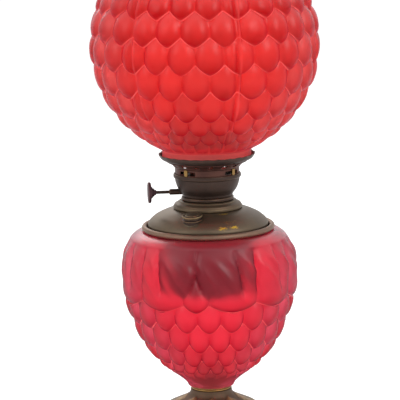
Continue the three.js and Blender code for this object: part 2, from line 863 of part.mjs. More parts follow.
// Three steps of hub narrow from the wheel towards the shaft.
function thumbWheel() {
  const back = shaftReach + seatGap;
  const front = back + wheelHeight;
  const root = wheelRadius - wheelToothDepth;
  const outline = gearOutline(wheelTeeth, root, wheelRadius, wheelToothShares);
  const disc = plate(outline, back, wheelHeight);
  const bore = shaftRadius + slideGap / 2;
  const steps = places(hubShares, 0, hubRadius, back, -hubHeight);
  const hub = turned([
    [bore, back - hubHeight], ...steps, [hubRadius, (back + front) / 2],
    [bore, (back + front) / 2],
  ], smallSides);
  return join([disc, hub]).rotateY(-Math.PI / 2);
}

// Flame spreader: a stem in the draught tube, a thimble and a button above the wick

function flameSpreader() {
  const stem = draughtRadius - draughtWall - slideGap;
  const seat = draughtTop + seatGap;
  const neck = draughtRadius - draughtWall / 2;
  const button = seat + sheet + spreaderRise;
  const wall = sheet;
  return turned([
    [stem, seat - spreaderStem], [stem, seat], [neck, seat], [neck, seat + sheet],
    [stem, seat + sheet], [stem, button], [buttonRadius, button + buttonHeight / 3],
    [buttonRadius, button + buttonHeight / 2],
    [buttonRadius * buttonCrownShare, button + buttonHeight],
    [0, button + buttonHeight], [0, button + buttonHeight / 2], [stem - wall, button],
    [stem - wall, seat - spreaderStem],
  ], tubeSides);
}

// Gallery

function galleryBand() {
  const top = bandBottom + bandHeight;
  const band = tube(bandRadius - sheet, bandRadius, bandBottom, top, wideSides);
  const share = bandWindowShare / clipTurns.length;
  const width = 2 * bandRadius * Math.sin(Math.PI * share);
  const foot = bandBottom + bandWindowFoot;
  const shape = rectangle(-width / 2, foot, width / 2, foot + bandWindowHeight);
  const cutters = clipTurns.map((turn) => {
    const middle = (turn + 180 / clipTurns.length) * degrees;
    return outwards(shape, bandRadius / 2, bandRadius + overrun, middle, 1);
  });
  return cut(band, cutters);
}

function galleryClip(turn) {
  const inner = bandRadius + seatGap;
  const shape = rectangle(-clipWidth / 2, bowlTop + seatGap, clipWidth / 2, coneBottom - seatGap);
  return outwards(shape, inner, inner + clipThickness, turn * degrees, 1);
}

const coneShares = [[0, 0], [0.36, 0.62], [0.72, 0.86], [1, 1]];

function galleryCone() {
  const outer = places(coneShares, bandRadius, coneRadius, coneBottom, coneRise);
  const inner = insideOf(outer, sheet).slice(1).reverse();
  const shelf = bandRadius - shelfWidth;
  const shell = turned([
    [shelf, coneBottom], ...outer, ...inner, [bandRadius - sheet, coneBottom + sheet],
    [shelf, coneBottom + sheet],
  ], slotCount * 2);
  const span = coneRadius - bandRadius;
  const from = bandRadius + span * slotInsetShare;
  const to = from + span * slotLengthShare;
  const cutters = [];
  for (let index = 0; index < slotCount; index += 1) {
    const slot = new THREE.BoxGeometry(slotWidth, to - from, coneRise * 2 + overrun);
    const turn = 2 * Math.PI * index / slotCount;
    cutters.push(slot.translate(0, -(from + to) / 2, coneBottom + coneRise).rotateZ(turn));
  }
  return cut(shell, cutters);
}

// The trough of the ring carries the shade, and its lip flares out around the shade's neck.
const ringShares = [
  [0, 0], [0.45, 0.2], [0.72, 0.42], [0.88, 0.66], [0.97, 0.92], [1, 1],
];
const ringLipShares = [[0.7, 1], [0.51, 0.69], [0.18, 0.45], [0, 0.285]];

function shadeRing() {
  const outer = places(ringShares, ringInner, ringRadius, ringBottom, ringRise);
  const lip = places(ringLipShares, ringSeatRadius, ringRadius, ringBottom, ringRise);
  const seat = [ringInner, ringBottom + ringRise * ringSeatShare];
  return turned([...outer, ...lip, seat], wideSides);
}

function chimneySpring(index) {
  const inner = chimneyBaseRadius + slideGap;
  const shape = rectangle(
    -springWidth / 2, chimneyBottom, springWidth / 2, chimneyBottom + springHeight);
  const turn = (springTurn + 360 * index / springCount) * degrees;
  return outwards(shape, inner, inner + springThickness, turn, 1);
}

// Chimney and shade

// Radii as shares from the top's radius to the base's, and heights as shares above the foot
const chimneyShares = [
  [1.27, 0.065], [1.24, 0.1], [0.85, 0.17], [0.4, 0.225], [0.15, 0.3], [0.05, 0.45], [0, 1],
];

function chimney() {
  const foot = chimneyBottom + springHeight + chimneyFootSpare;
  const rise = chimneyBottom + chimneyHeight - foot;
  const outer = [
    [chimneyBaseRadius, chimneyBottom], [chimneyBaseRadius, foot],
    ...places(chimneyShares, chimneyTopRadius, chimneyBaseRadius, foot, rise),
  ];
  const inner = insideOf(outer, chimneyWall).reverse();
  inner[0][1] = chimneyBottom + chimneyHeight;
  return turned([...outer, ...inner], tubeSides);
}

// The tips of each row of the shade, in degrees above the middle of the ball
const shadeRowShares = [
  [-1, -67], [0, -57.4], [1, -48.8], [2, -38.6], [3, -25.4], [4, -11.3], [5, 2.7], [6, 16.2],
  [7, 29.5], [8, 42], [9, 53], [10, 62], [11, 66.5],
];
const shadeCutShares = [
  -0.5, 0.12, 0.5, 0.86, 1.12, 1.5, 1.86, 2.12, 2.5, 2.86, 3.12, 3.5, 3.86, 4.12, 4.5, 4.86, 5.12,
  5.5, 5.86, 6.12, 6.5, 6.86, 7.12, 7.5, 7.86, 8.12, 8.6, 9.12, 10.2,
];

const shadeInsidePoints = 8;

function shadeCentre() {
  const rise = Math.sqrt(shadeRadius ** 2 - shadeNeckRadius ** 2);
  return shadeBottom + shadeNeckHeight + rise;
}

function shadePlace(latitude) {
  return [
    shadeRadius * Math.cos(latitude * degrees),
    shadeCentre() + shadeRadius * Math.sin(latitude * degrees),
  ];
}

function ballShade() {
  const neckTop = shadeBottom + shadeNeckHeight;
  const crownRise = Math.sqrt(shadeRadius ** 2 - shadeTopRadius ** 2);
  const crown = shadeCentre() + crownRise;
  const outer = shadeCutShares.map((row) => shadePlace(between(shadeRowShares, row, 0, 1)));
  const hollow = shadeRadius - shadeWall - shadeRelief;
  const inside = [];
  const low = Math.asin(-Math.sqrt(hollow ** 2 - (shadeNeckRadius - shadeWall) ** 2) / hollow);
  const high = Math.asin(Math.sqrt(hollow ** 2 - (shadeTopRadius - shadeWall) ** 2) / hollow);
  for (let step = 0; step <= shadeInsidePoints; step += 1) {
    const angle = high + (low - high) * step / shadeInsidePoints;
    inside.push([hollow * Math.cos(angle), shadeCentre() + hollow * Math.sin(angle)]);
  }
  const shell = turned([
    [shadeNeckRadius, shadeBottom], [shadeNeckRadius, neckTop], ...outer, [shadeTopRadius, crown],
    [shadeTopRadius, crown + shadeRimHeight], [shadeTopRadius - shadeWall, crown + shadeRimHeight],
    ...inside, [shadeNeckRadius - shadeWall, shadeBottom],
  ], shadeScales * 2);
  shell.rotateZ(shadeTurn * degrees);
  const heights = shadeRowShares.map(([row, latitude]) => [shadePlace(latitude)[1], row]);
  return press(shell, (radius, angle, height) => {
    const rise = height - shadeCentre();
    const skin = Math.sqrt(Math.max(0, shadeRadius ** 2 - rise ** 2));
    if (radius < skin - shadeWall || height <= neckTop || height >= crown) return 0;
    const rows = between(heights, height, 0, 1);
    const round = (angle - shadeTurn) / 360 * shadeScales;
    const share = rows < 0 ? 1 + rows : scaleShare(round, rows);
    const even = Math.min(1, skin / shadeRadius / shadeEvenShare);
    return shadeRelief * (1 - share) * even;
  });
}

// The lamp, from the table up

place('base_casting', baseCasting(), castBrass());
place('check_ring', checkRing(), brightBrass());
const lowerNutBottom = baseHeight - bossHeight - seatGap - nutHeight;
const floorTop = bodyBottom + bodyFloor;
const upperNutBottom = floorTop + seatGap + washerHeight + seatGap;
place('stay_tube', tube(
  stayRadius - stayWall, stayRadius, lowerNutBottom - stayThreadSpare,
  upperNutBottom + nutHeight + stayThreadSpare, tubeSides,
), agedBrass());
place('stay_nut_lower', hexNut(lowerNutBottom), agedBrass());
place('stay_nut_upper', hexNut(upperNutBottom), agedBrass());
place('stay_washer', tube(
  stayHole, washerRadius, floorTop + seatGap, floorTop + seatGap + washerHeight, tubeSides,
), agedBrass());
place('body_glass', bodyGlass(), redGlass());
place('vase_ring', vaseRing(), agedBrass());

place('font_bowl', fontBowl(), agedBrass());
place('font_dome', fontDome(), agedBrass());
place('draught_tube', tube(
  draughtRadius - draughtWall, draughtRadius, draughtBottom, draughtTop, tubeSides,
), agedBrass());
const filler = new THREE.Group();
filler.position.set(...fillerSpot(), fillerFloor());
filler.rotation.set(fillerLean * degrees, 0, fillerTurn * degrees, 'ZXY');
group.add(filler);
place('filler_neck', fillerNeck(), agedBrass(), filler);
place('cap_gasket', capGasket(), leather(), filler);
place('filler_cap', fillerCap(), agedBrass(), filler);
place('font_collar', fontCollar(), agedBrass());

place('burner_ring', burnerRing(), darkBrass());
place('burner_bowl', burnerBowl(), darkBrass());
place('air_deck', airDeck(), darkBrass());
place('wick_tube', tube(
  wickTubeInner, wickTubeOuter, wickTubeTop - wickTubeHeight, wickTubeTop, tubeSides,
), agedBrass());
place('wick', tube(
  wickInner, wickOuter, wickBottom(), wickBottom() + wickLength, tubeSides,
), cotton());
place('flame_spreader', flameSpreader(), agedBrass());

const raiser = new THREE.Group();
raiser.rotation.z = raiserTurn * degrees;
group.add(raiser);
place('wick_carrier', wickCarrier(), agedBrass(), raiser);
const shaftLine = new THREE.Group();
shaftLine.position.z = shaftHeight;
raiser.add(shaftLine);
place('raiser_shaft', raiserShaft(), darkBrass(), shaftLine);
place('raiser_sleeve', raiserSleeve(), darkBrass(), shaftLine);
place('thumb_wheel', thumbWheel(), darkBrass(), shaftLine);

place('gallery_band', galleryBand(), agedBrass());
clipTurns.forEach((turn, index) => {
  place(`gallery_clip_${index + 1}`, galleryClip(turn), brightBrass());
});
place('gallery_cone', galleryCone(), agedBrass());
place('shade_ring', shadeRing(), agedBrass());
for (let index = 0; index < springCount; index += 1) {
  place(`chimney_spring_${index + 1}`, chimneySpring(index), brightBrass());
}
place('chimney', chimney(), clearGlass());
place('ball_shade', ballShade(), redGlass());

export default group;
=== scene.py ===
import math

import bmesh
import bpy
import numpy as np
from mathutils import Matrix


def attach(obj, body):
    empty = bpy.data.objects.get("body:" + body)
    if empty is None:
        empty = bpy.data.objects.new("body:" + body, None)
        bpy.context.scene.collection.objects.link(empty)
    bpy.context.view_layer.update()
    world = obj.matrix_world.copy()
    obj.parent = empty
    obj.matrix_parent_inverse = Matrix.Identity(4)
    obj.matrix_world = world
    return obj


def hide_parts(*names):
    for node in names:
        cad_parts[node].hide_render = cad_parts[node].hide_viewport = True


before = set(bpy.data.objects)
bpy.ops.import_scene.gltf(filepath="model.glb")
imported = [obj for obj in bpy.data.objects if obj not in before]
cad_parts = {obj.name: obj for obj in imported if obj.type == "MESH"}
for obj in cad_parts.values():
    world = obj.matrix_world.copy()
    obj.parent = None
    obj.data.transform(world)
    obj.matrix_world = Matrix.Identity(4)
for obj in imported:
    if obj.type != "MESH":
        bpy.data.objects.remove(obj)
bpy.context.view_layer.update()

# The camera stands far back and a little above the burner, looking down ten degrees with a
# slight lean, so that the picture runs from the ball shade's middle to the neck of the base.
focal_pixels, picture_pixels, sensor_width = 2195, 400, 36
eye = bpy.data.cameras.new("eye")
eye.sensor_width = sensor_width
eye.lens = focal_pixels / picture_pixels * sensor_width
camera = bpy.data.objects.new("eye", eye)
bpy.context.collection.objects.link(camera)
stand_point, pitch, roll_over = (-0.0087, -2.452, 0.7374), math.radians(80), math.radians(-1.15)
camera.matrix_world = (
    Matrix.Translation(stand_point)
    @ Matrix.Rotation(pitch, 4, "X") @ Matrix.Rotation(roll_over, 4, "Z"))
bpy.context.scene.camera = camera
bpy.context.scene.view_settings.view_transform = "Standard"


# The room is a pale studio: an even surround, a large soft lamp at the right of the camera and
# a weaker one at the left. The surround looks pure white to the eye and through glass, and
# polished metal sees it too, dim behind the camera and white at the sides and overhead.
class Value:
    """One output of a shader node, on which plain arithmetic works by adding Math nodes."""

    def __init__(self, tree, socket):
        self.tree, self.socket = tree, socket

    def maths(self, operation, *values):
        node = self.tree.nodes.new("ShaderNodeMath")
        node.operation = operation
        for entry, value in zip(node.inputs, values):
            if isinstance(value, Value):
                self.tree.links.new(value.socket, entry)
            else:
                entry.default_value = value
        return Value(self.tree, node.outputs[0])

    def __add__(self, other):
        return self.maths("ADD", self, other)

    def __sub__(self, other):
        return self.maths("SUBTRACT", self, other)

    def __rsub__(self, other):
        return self.maths("SUBTRACT", other, self)

    def __mul__(self, other):
        return self.maths("MULTIPLY", self, other)

    def __pow__(self, other):
        return self.maths("POWER", self, other)

    __radd__, __rmul__ = __add__, __mul__

    def least(self, other):
        return self.maths("MINIMUM", self, other)

    def most(self, other):
        return self.maths("MAXIMUM", self, other)

    def steps_up(self, low, high):
        """0 below low, 1 above high and a straight rise between, for low under high."""
        return ((self - low) * (1 / (high - low))).least(1).most(0)


class Shader:
    """The nodes of a material or a world, and its one way to add a node."""

    def __init__(self, owner):
        owner.use_nodes = True
        self.owner, self.tree = owner, owner.node_tree

    def fill(self, node, **sockets):
        """Sets or links a node's inputs, each named with _ for a space, or _ and its number."""
        for name, value in sockets.items():
            words = name.replace("_", " ")
            entry = node.inputs[int(name[1:])] if name[1:].isdigit() else node.inputs[words]
            if isinstance(value, Value):
                self.tree.links.new(value.socket, entry)
            else:
                entry.default_value = value

    def node(self, kind, settings=None, output=0, **sockets):
        """Adds a node of a kind, makes its settings, fills its sockets and gives one output."""
        node = self.tree.nodes.new("ShaderNode" + kind)
        for name, value in (settings or {}).items():
            setattr(node, name, value)
        self.fill(node, **sockets)
        return Value(self.tree, node.outputs[output])

    def rays(self):
        """Whether a ray comes from the eye, from a shiny surface or through glass."""
        return [self.node("LightPath", output=name)
                for name in ("Is Camera Ray", "Is Glossy Ray", "Is Transmission Ray")]

    def mix(self, share, first, second):
        """The colour first where share is 0, second where it is 1."""
        return self.node("Mix", {"data_type": "RGBA"}, output=2, _0=share, _6=first, _7=second)

    def finish(self, **sockets):
        """Fills the inputs of the material's Principled shader and gives the material."""
        self.fill(self.tree.nodes["Principled BSDF"], **sockets)
        return self.owner


def paint(red, green, blue):
    """A colour seen on screen, 0 to 255, as the linear light that gives it."""
    seen = np.array([red, green, blue]) / 255
    light = np.where(seen <= 0.04045, seen / 12.92, ((seen + 0.055) / 1.055) ** 2.4)
    return (*light.tolist(), 1)


world = bpy.data.worlds.new("studio")
bpy.context.scene.world = world
surround = Shader(world)
seen_by_eye, seen_in_gloss, seen_through = surround.rays()
toward = surround.node("TexCoord", output="Generated")
back, up = [surround.node("SeparateXYZ", Vector=toward, output=name) for name in "YZ"]
ceiling = up.steps_up(0.35, 0.9)
in_gloss = (back.steps_up(-0.9, 0.2) * 0.8 + 0.2) * (1 - ceiling) + ceiling * 1.1
on_matt = 0.6
plainly_seen = seen_by_eye.most(seen_through)
brightness = plainly_seen + (1 - plainly_seen) * (
    seen_in_gloss * in_gloss + (1 - seen_in_gloss) * on_matt)
surround.fill(world.node_tree.nodes["Background"], Color=(1, 1, 1, 1), Strength=brightness)


def soft_lamp(name, place, target, width, power):
    """A square lamp at place, facing target, all in metres and watts."""
    lamp = bpy.data.lights.new(name, "AREA")
    lamp.size, lamp.energy = width, power
    holder = bpy.data.objects.new(name, lamp)
    bpy.context.collection.objects.link(holder)
    facing = np.array(place) - np.array(target)
    turn = math.atan2(facing[0], -facing[1])
    tilt = math.acos(facing[2] / np.linalg.norm(facing))
    holder.matrix_world = (
        Matrix.Translation(place) @ Matrix.Rotation(turn, 4, "Z") @ Matrix.Rotation(tilt, 4, "X"))


middle_of_lamp, lamp_width = (0, 0, 0.38), 1.6
soft_lamp("right_lamp", (1.8, -1.9, 1.7), middle_of_lamp, lamp_width, 30)
soft_lamp("left_lamp", (-2.0, -1.6, 1.3), middle_of_lamp, lamp_width, 16)
soft_lamp("back_lamp", (-0.6, 2.0, 1.8), middle_of_lamp, lamp_width, 16)

# The floor is one pale sheet that runs back until it meets the surround. It keeps the lamp's
# shadow, and where no shadow falls it looks as white as the surround.
half, sunk = 9.0, -0.0003
floor_mesh = bpy.data.meshes.new("floor")
corners = [(-half, -half, sunk), (half, -half, sunk), (half, half, sunk), (-half, half, sunk)]
floor_mesh.from_pydata(corners, [], [(0, 1, 2, 3)])
floor = bpy.data.objects.new("floor", floor_mesh)
bpy.context.collection.objects.link(floor)
pale = bpy.data.materials.new("pale_sheet")
sheet = Shader(pale)
by_eye, in_shine, through_glass = sheet.rays()
shown = by_eye.most(in_shine).most(through_glass)
lit = sheet.node("BsdfDiffuse", Color=(0.8, 0.8, 0.8, 1))
glow = sheet.node("Emission", Color=(1, 1, 1, 1), Strength=0.56)
both = sheet.node("AddShader", _0=lit, _1=glow)
mixed = sheet.node("MixShader", _0=shown, _1=lit, _2=both)
sheet.fill(pale.node_tree.nodes["Material Output"], Surface=mixed)
floor_mesh.materials.append(pale)


# The base is one brass casting with a dark brown patina: a pierced skirt on four low feet,
# rising to a leafy shoulder and a narrow neck. It is sand cast, chased, and antiqued.
def grid_faces(rows, columns, rows_meet=False, columns_meet=False):
    """Corner numbers of each square of a grid whose points are counted row by row."""
    row, column = np.meshgrid(
        np.arange(rows - (not rows_meet)), np.arange(columns - (not columns_meet)), indexing="ij")
    next_row, next_column = (row + 1) % rows, (column + 1) % columns
    squares = [row * columns + column, next_row * columns + column,
               next_row * columns + next_column, row * columns + next_column]
    return np.stack(squares, -1).reshape(-1, 4)


def held(values):
    """Values kept between 0 and 1."""
    return np.clip(values, 0, 1)


def around_lamp(radius, angle, height):
    """Points at a radius and a height in mm, angle radians round the lamp from its front."""
    return np.stack(np.broadcast_arrays(radius * np.sin(angle), -radius * np.cos(angle), height), -1)


def angle_and_radius(points):
    """Each point's angle round the lamp from its front and its distance from the axis."""
    return np.arctan2(points[..., 0], -points[..., 1]), np.hypot(points[..., 0], points[..., 1])


def piece(name, points, faces, body, slot, finish, replaced=(), sharp=38, **layers):
    """Makes a closed piece from points in mm and squares, with equal points merged and faces
    outward, smooth but for edges sharper than sharp degrees. Each layer is one number a point."""
    points, faces = np.asarray(points, float).reshape(-1, 3), np.asarray(faces)
    mesh = bpy.data.meshes.new(name)
    mesh.vertices.add(len(points))
    mesh.vertices.foreach_set("co", (points / 1000).ravel())
    mesh.loops.add(faces.size)
    mesh.loops.foreach_set("vertex_index", faces.ravel().astype(np.int32))
    mesh.polygons.add(len(faces))
    mesh.polygons.foreach_set("loop_start", np.arange(0, faces.size, 4, dtype=np.int32))
    mesh.update(calc_edges=True)
    for layer, values in layers.items():
        values = np.broadcast_to(values, len(points)).astype(np.float32)
        mesh.attributes.new(layer, "FLOAT", "POINT").data.foreach_set("value", values)
    shape = bmesh.new()
    shape.from_mesh(mesh)
    bmesh.ops.remove_doubles(shape, verts=shape.verts, dist=4e-6)
    bmesh.ops.recalc_face_normals(shape, faces=shape.faces)
    shape.to_mesh(mesh)
    shape.free()
    mesh.shade_smooth()
    mesh.set_sharp_from_angle(angle=math.radians(sharp))
    mesh.materials.append(finish)
    made = bpy.data.objects.new(name, mesh)
    bpy.context.collection.objects.link(made)
    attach(made, body)
    if replaced:
        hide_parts(*replaced)
    return made


def metal(name, clean, tarnished, worn, rough=0.42, blotch=38, cloud=0.5, sheen=0.85):
    """Brass that has darkened: tarnish lies over the clean colour in clouds, the points whose
    wear layer is high are rubbed bright in patches, and fine pits and scratches catch light."""
    tree = Shader(bpy.data.materials.new(name))
    place = tree.node("TexCoord", output="Object")
    broad = tree.node("TexNoise", Vector=place, Scale=blotch, Detail=5.0, Roughness=0.6)
    fine = tree.node("TexNoise", Vector=place, Scale=blotch * 14, Detail=3.0, Roughness=0.6)
    around = tree.node("Mapping", Vector=place, Scale=(90, 90, 2600))
    turned_lines = tree.node("TexNoise", Vector=around, Scale=1.0, Detail=2.0)
    wear = tree.node("Attribute", {"attribute_name": "wear"}, output="Fac")
    veil = (broad * 0.75 + fine * 0.25).steps_up(0.5 - cloud * 0.5, 0.5 + cloud * 0.35)
    rubbed = (wear * (0.35 + fine * 1.1)).steps_up(0.3, 0.75)
    colour = tree.mix(rubbed, tree.mix(veil, tarnished, clean), worn)
    bump = tree.node(
        "Bump", Strength=0.16, Distance=0.0004, Height=fine * 0.7 + turned_lines * 0.3)
    return tree.finish(Metallic=sheen, Base_Color=colour, Normal=bump,
                       Roughness=rough + broad * 0.22 - rubbed * 0.12)


cast_brass = metal(
    "cast_brass", paint(114, 92, 72), paint(66, 52, 46), paint(150, 122, 84), 0.48, 46, 0.8)
base_top, foot_radius, cast_wall, stay_bore = 86, 94, 4, 9.4
base_curve = np.array([
    (0, foot_radius), (6, foot_radius), (10, 88), (17, 81), (28, 75), (40, 71), (50, 67.5),
    (58, 62.5), (65.1, 53.5), (68.1, 47.3), (71.7, 39), (75.6, 31), (79, 26), (82.3, 24),
    (base_top, 23.4)])
sectors, columns_each = 8, 16
window_low, window_high, window_half = 20, 47, 12
panel_low, panel_high, panel_lines = 13, 54, 12


def base_radius(height):
    """Radius of the casting's skin at a height, eased through the points of its outline."""
    fine = np.linspace(0, base_top, 345)
    radius = np.interp(fine, *base_curve.T)
    eased = np.convolve(np.pad(radius, 6, mode="edge"), np.hanning(15)[1:-1] / 7, "valid")
    return np.interp(height, fine, eased)


def base_relief(angle, height):
    """Chased ornament in mm: eight leaves with a midrib on the shoulder, and a beaded foot."""
    across = np.abs((angle / (2 * np.pi) * sectors + 0.5) % 1 - 0.5) * 2
    up = held((height - 57) / 24)
    width = 0.92 * np.sin(np.pi * held(up * 0.86 + 0.14)) ** 0.6 + 1e-6
    lobes = 1 + 0.14 * np.sin(up * 34)
    inside = held((width * lobes - across) * 7)
    veins = 0.25 * np.cos(up * 42 + across * 9) * held(across * 4)
    leaf = inside * (1.1 - 0.5 * across + veins * 0.6 + 0.5 * np.exp(-(across * 11) ** 2))
    leaf *= held(up * 9) * held((1 - up) * 9)
    beads = np.abs(np.sin(angle * 60)) * np.exp(-((height - 8.5) / 1.5) ** 2)
    return 1.2 * leaf + 0.9 * beads


def base_point(angle, height, depth):
    """Point of the skirt at an angle and height, depth mm inside the skin, with its relief."""
    radius = base_radius(height) - depth + np.where(depth > 0, 0, base_relief(angle, height))
    return around_lamp(radius, angle, height)


def bezier(start, pull, end, steps):
    """Points of the curve from start to end drawn towards pull, without its last point."""
    t = np.linspace(0, 1, steps, endpoint=False)[:, None]
    return (1 - t) ** 2 * np.array(start) + 2 * t * (1 - t) * np.array(pull) + t ** 2 * np.array(end)


def base_casting():
    """Skin and inner face as bands: arched foot, a panel round each window whose lines run from
    the window's edge to the panel's edge, and the shoulder; window edges join the two faces."""
    tall = window_high - window_low
    middle = window_low + tall / 2
    shoulder_pull = window_low + tall * 0.75
    rim = np.concatenate([
        bezier((0, window_low), (window_half, window_low), (window_half, middle), 16),
        bezier((window_half, middle), (window_half / 2, shoulder_pull), (0, window_high), 16),
        bezier((0, window_high), (-window_half / 2, shoulder_pull), (-window_half, middle), 16),
        bezier((-window_half, middle), (-window_half, window_low), (0, window_low), 16)])
    side = math.pi / sectors
    walk = np.array([
        (0, panel_low), (side, panel_low), (side, panel_high), (-side, panel_high),
        (-side, panel_low), (0, panel_low)], float)
    stops = np.cumsum([0, 8, 16, 16, 16, 8])
    edge = np.stack([np.interp(np.arange(len(rim)), stops, walk[:, axis]) for axis in (0, 1)], -1)
    rim_angle = rim[:, 0] / base_radius(rim[:, 1])
    blend = np.linspace(0, 1, panel_lines)[:, None] ** 1.2
    panel_angle = rim_angle + (edge[:, 0] - rim_angle) * blend
    panel_height = rim[:, 1] + (edge[:, 1] - rim[:, 1]) * blend
    bead = 1.5 * np.exp(-(np.arange(panel_lines) / 1.7 - 0.9) ** 2)[:, None]
    points, faces, count = [], [], 0

    def add(block, rows_meet=False, columns_meet=False):
        nonlocal count
        points.append(block.reshape(-1, 3))
        faces.append(grid_faces(*block.shape[:2], rows_meet, columns_meet) + count)
        count += block.shape[0] * block.shape[1]

    for sector in range(sectors):
        turn = 2 * math.pi * (sector + 0.5) / sectors
        for depth in (0, cast_wall):
            skin = base_point(panel_angle + turn, panel_height, depth)
            if depth == 0:
                outward = skin * [1, 1, 0]
                outward /= np.linalg.norm(outward, axis=-1, keepdims=True)
                skin = skin + outward * bead[..., None]
            add(skin, columns_meet=True)
            if depth == 0:
                outer_rim = skin[0]
            else:
                add(np.stack([outer_rim, skin[0]]), columns_meet=True)
    angle = np.linspace(0, 2 * np.pi, sectors * columns_each, endpoint=False)
    reach = foot_radius * np.sin(np.abs((angle / (np.pi / 2) + 0.5) % 1 - 0.5) * np.pi / 2)
    foot = 6 * held(1 - (reach / 35) ** 2.6)
    lift = np.linspace(0, 1, 16)[:, None]
    foot_height = foot + (panel_low - foot) * lift
    outer_skirt, inner_skirt = [base_point(angle, foot_height, depth) for depth in (0, cast_wall)]
    add(np.concatenate([inner_skirt[::-1], outer_skirt]), columns_meet=True)
    shoulder = base_point(angle, np.linspace(panel_high, base_top, 70)[:, None], 0)
    hollow = np.array([
        (base_top, stay_bore), (66, stay_bore), (66, 18), (68, 20), (66.5, 34), (63, 45.5),
        (60.5, 51), (58, 57), (panel_high, base_radius(panel_high) - cast_wall)])
    under_shoulder = around_lamp(hollow[:, 1:], angle, hollow[:, :1])
    add(np.concatenate([shoulder, under_shoulder]), columns_meet=True)
    return np.concatenate(points), np.concatenate(faces)


casting_points, casting_faces = base_casting()
casting_angle, _ = angle_and_radius(casting_points)
casting_wear = held(base_relief(casting_angle, casting_points[:, 2]) / 1.6)
piece("base_skin", casting_points, casting_faces, "stand", "cast_base", cast_brass,
      ["base_casting"], wear=casting_wear * 0.9)


# The check ring is a bright brass collar between the base and the glass, and the stay, its nuts
# and its washer clamp the two together from inside. All are turned brass.
def rounded(outline, steps=4):
    """Corners of an outline in mm eased into curves. Each row is a radius, a height and how far
    from the corner the curve leaves its sides, at most just under half of either side."""
    table = np.array(outline, float)
    corner, reach = table[:, :2], table[:, 2:]
    back, ahead = np.roll(corner, 1, 0) - corner, np.roll(corner, -1, 0) - corner
    back_long = np.linalg.norm(back, axis=1, keepdims=True)
    ahead_long = np.linalg.norm(ahead, axis=1, keepdims=True)
    reach = np.minimum(reach, 0.49 * np.minimum(back_long, ahead_long))
    start, end = corner + back / back_long * reach, corner + ahead / ahead_long * reach
    t = np.linspace(0, 1, steps + 1)[None, :, None]
    curve = start[:, None] * (1 - t) ** 2 + corner[:, None] * 2 * t * (1 - t) + end[:, None] * t ** 2
    curve = curve.reshape(-1, 2)
    apart = np.linalg.norm(curve - np.roll(curve, 1, 0), axis=1) > 1e-3
    return curve[apart]


def spun(outline, sides=96, steps=4, longest=4.0):
    """A surface of revolution: outline turned about Z, angle 0 facing the front. Long sides get
    points between. Gives points (sides, n, 3), squares, and wear, the outline's outward
    bend in turns of a radian per millimetre, so that sharp outer edges read 1."""
    curve = rounded(outline, steps)
    closed = curve[:, 0].min() > 1e-6
    if not closed:
        curve = np.roll(curve, -np.flatnonzero(
            (curve[:, 0] < 1e-6) & (np.roll(curve[:, 0], -1) > 1e-6))[0], 0)
    ends = np.roll(curve, -1, 0) if closed else curve[1:]
    starts = curve if closed else curve[:-1]
    parts = np.maximum(1, np.ceil(np.linalg.norm(ends - starts, axis=1) / longest)).astype(int)
    which = np.repeat(np.arange(len(starts)), parts)
    share = (np.arange(parts.sum()) - np.repeat(np.cumsum(parts) - parts, parts)) / parts[which]
    line = starts[which] + (ends - starts)[which] * share[:, None]
    if not closed:
        line = np.concatenate([line, curve[-1:]])
    to, off = line - np.roll(line, 1, 0), np.roll(line, -1, 0) - line
    bend = np.arctan2(to[:, 0] * off[:, 1] - to[:, 1] * off[:, 0], (to * off).sum(1))
    span = (np.linalg.norm(to, axis=1) + np.linalg.norm(off, axis=1)) / 2
    turning = np.sign((line[:, 0] * off[:, 1]).sum()) or 1
    wear = held(turning * bend / span * 0.8)
    if not closed:
        wear[[0, -1]] = 0
    angle = np.linspace(0, 2 * np.pi, sides, endpoint=False)[:, None]
    faces = grid_faces(sides, len(line), rows_meet=True, columns_meet=closed)
    wear = np.broadcast_to(wear, (sides, len(line))).ravel()
    return around_lamp(line[:, 0], angle, line[:, 1]), faces, wear


def turned_piece(name, node, body, slot, finish, outline, sides=96, steps=4, worn=1, place=None):
    """Spins an outline into the piece that stands for a node, its outer edges worn by worn. A
    piece that isn't turned about the lamp's own axis is moved there by the function place."""
    points, faces, wear = spun(outline, sides, steps)
    if place:
        points = place(points)
    piece(name, points, faces, body, slot, finish, [node], wear=wear * worn)


def dress(material, *nodes):
    """Gives the CAD model's own nodes a better material."""
    for node in nodes:
        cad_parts[node].material_slots[0].material = material


bright_brass = metal(
    "bright_brass", paint(140, 106, 60), paint(84, 62, 42), paint(180, 144, 84), 0.36, 90, 0.6)
aged_brass = metal(
    "aged_brass", paint(146, 118, 98), paint(88, 70, 62), paint(166, 138, 108), 0.4, 30, 0.9)
dark_brass = metal(
    "dark_brass", paint(80, 64, 56), paint(46, 35, 34), paint(116, 92, 72), 0.42, 44, 0.8)

turned_piece("check_collar", "check_ring", "stand", "bright_brass", bright_brass, [
    (9.5, 86.3, 0.3), (22.3, 86.3, 0.8), (22.9, 87.2, 0.5), (22.2, 88.3, 0.4), (22.9, 89.4, 0.5),
    (22.3, 90.3, 0.8), (9.5, 90.3, 0.3)])
dress(aged_brass, "stay_tube", "stay_nut_lower", "stay_nut_upper", "stay_washer")


# The lamp's body is ruby glass, blown in a three-part mould with rows of overlapping scales
# under a crown of long leaves, then etched to a satin skin. It stands on the check ring.
def off_middle(around, row):
    """Distance, in scale widths, from the nearest middle of a scale of the row; the scales of an
    odd row stand half a scale round from those of an even one."""
    shifted = around - 0.5 * (row % 2)
    return shifted - np.round(shifted)


def tip_curve(aside):
    """How far a scale's edge has risen from its tip, in rows: 0.4 (2|aside|)^1.35."""
    return 0.4 * (2 * np.abs(aside)) ** 1.35


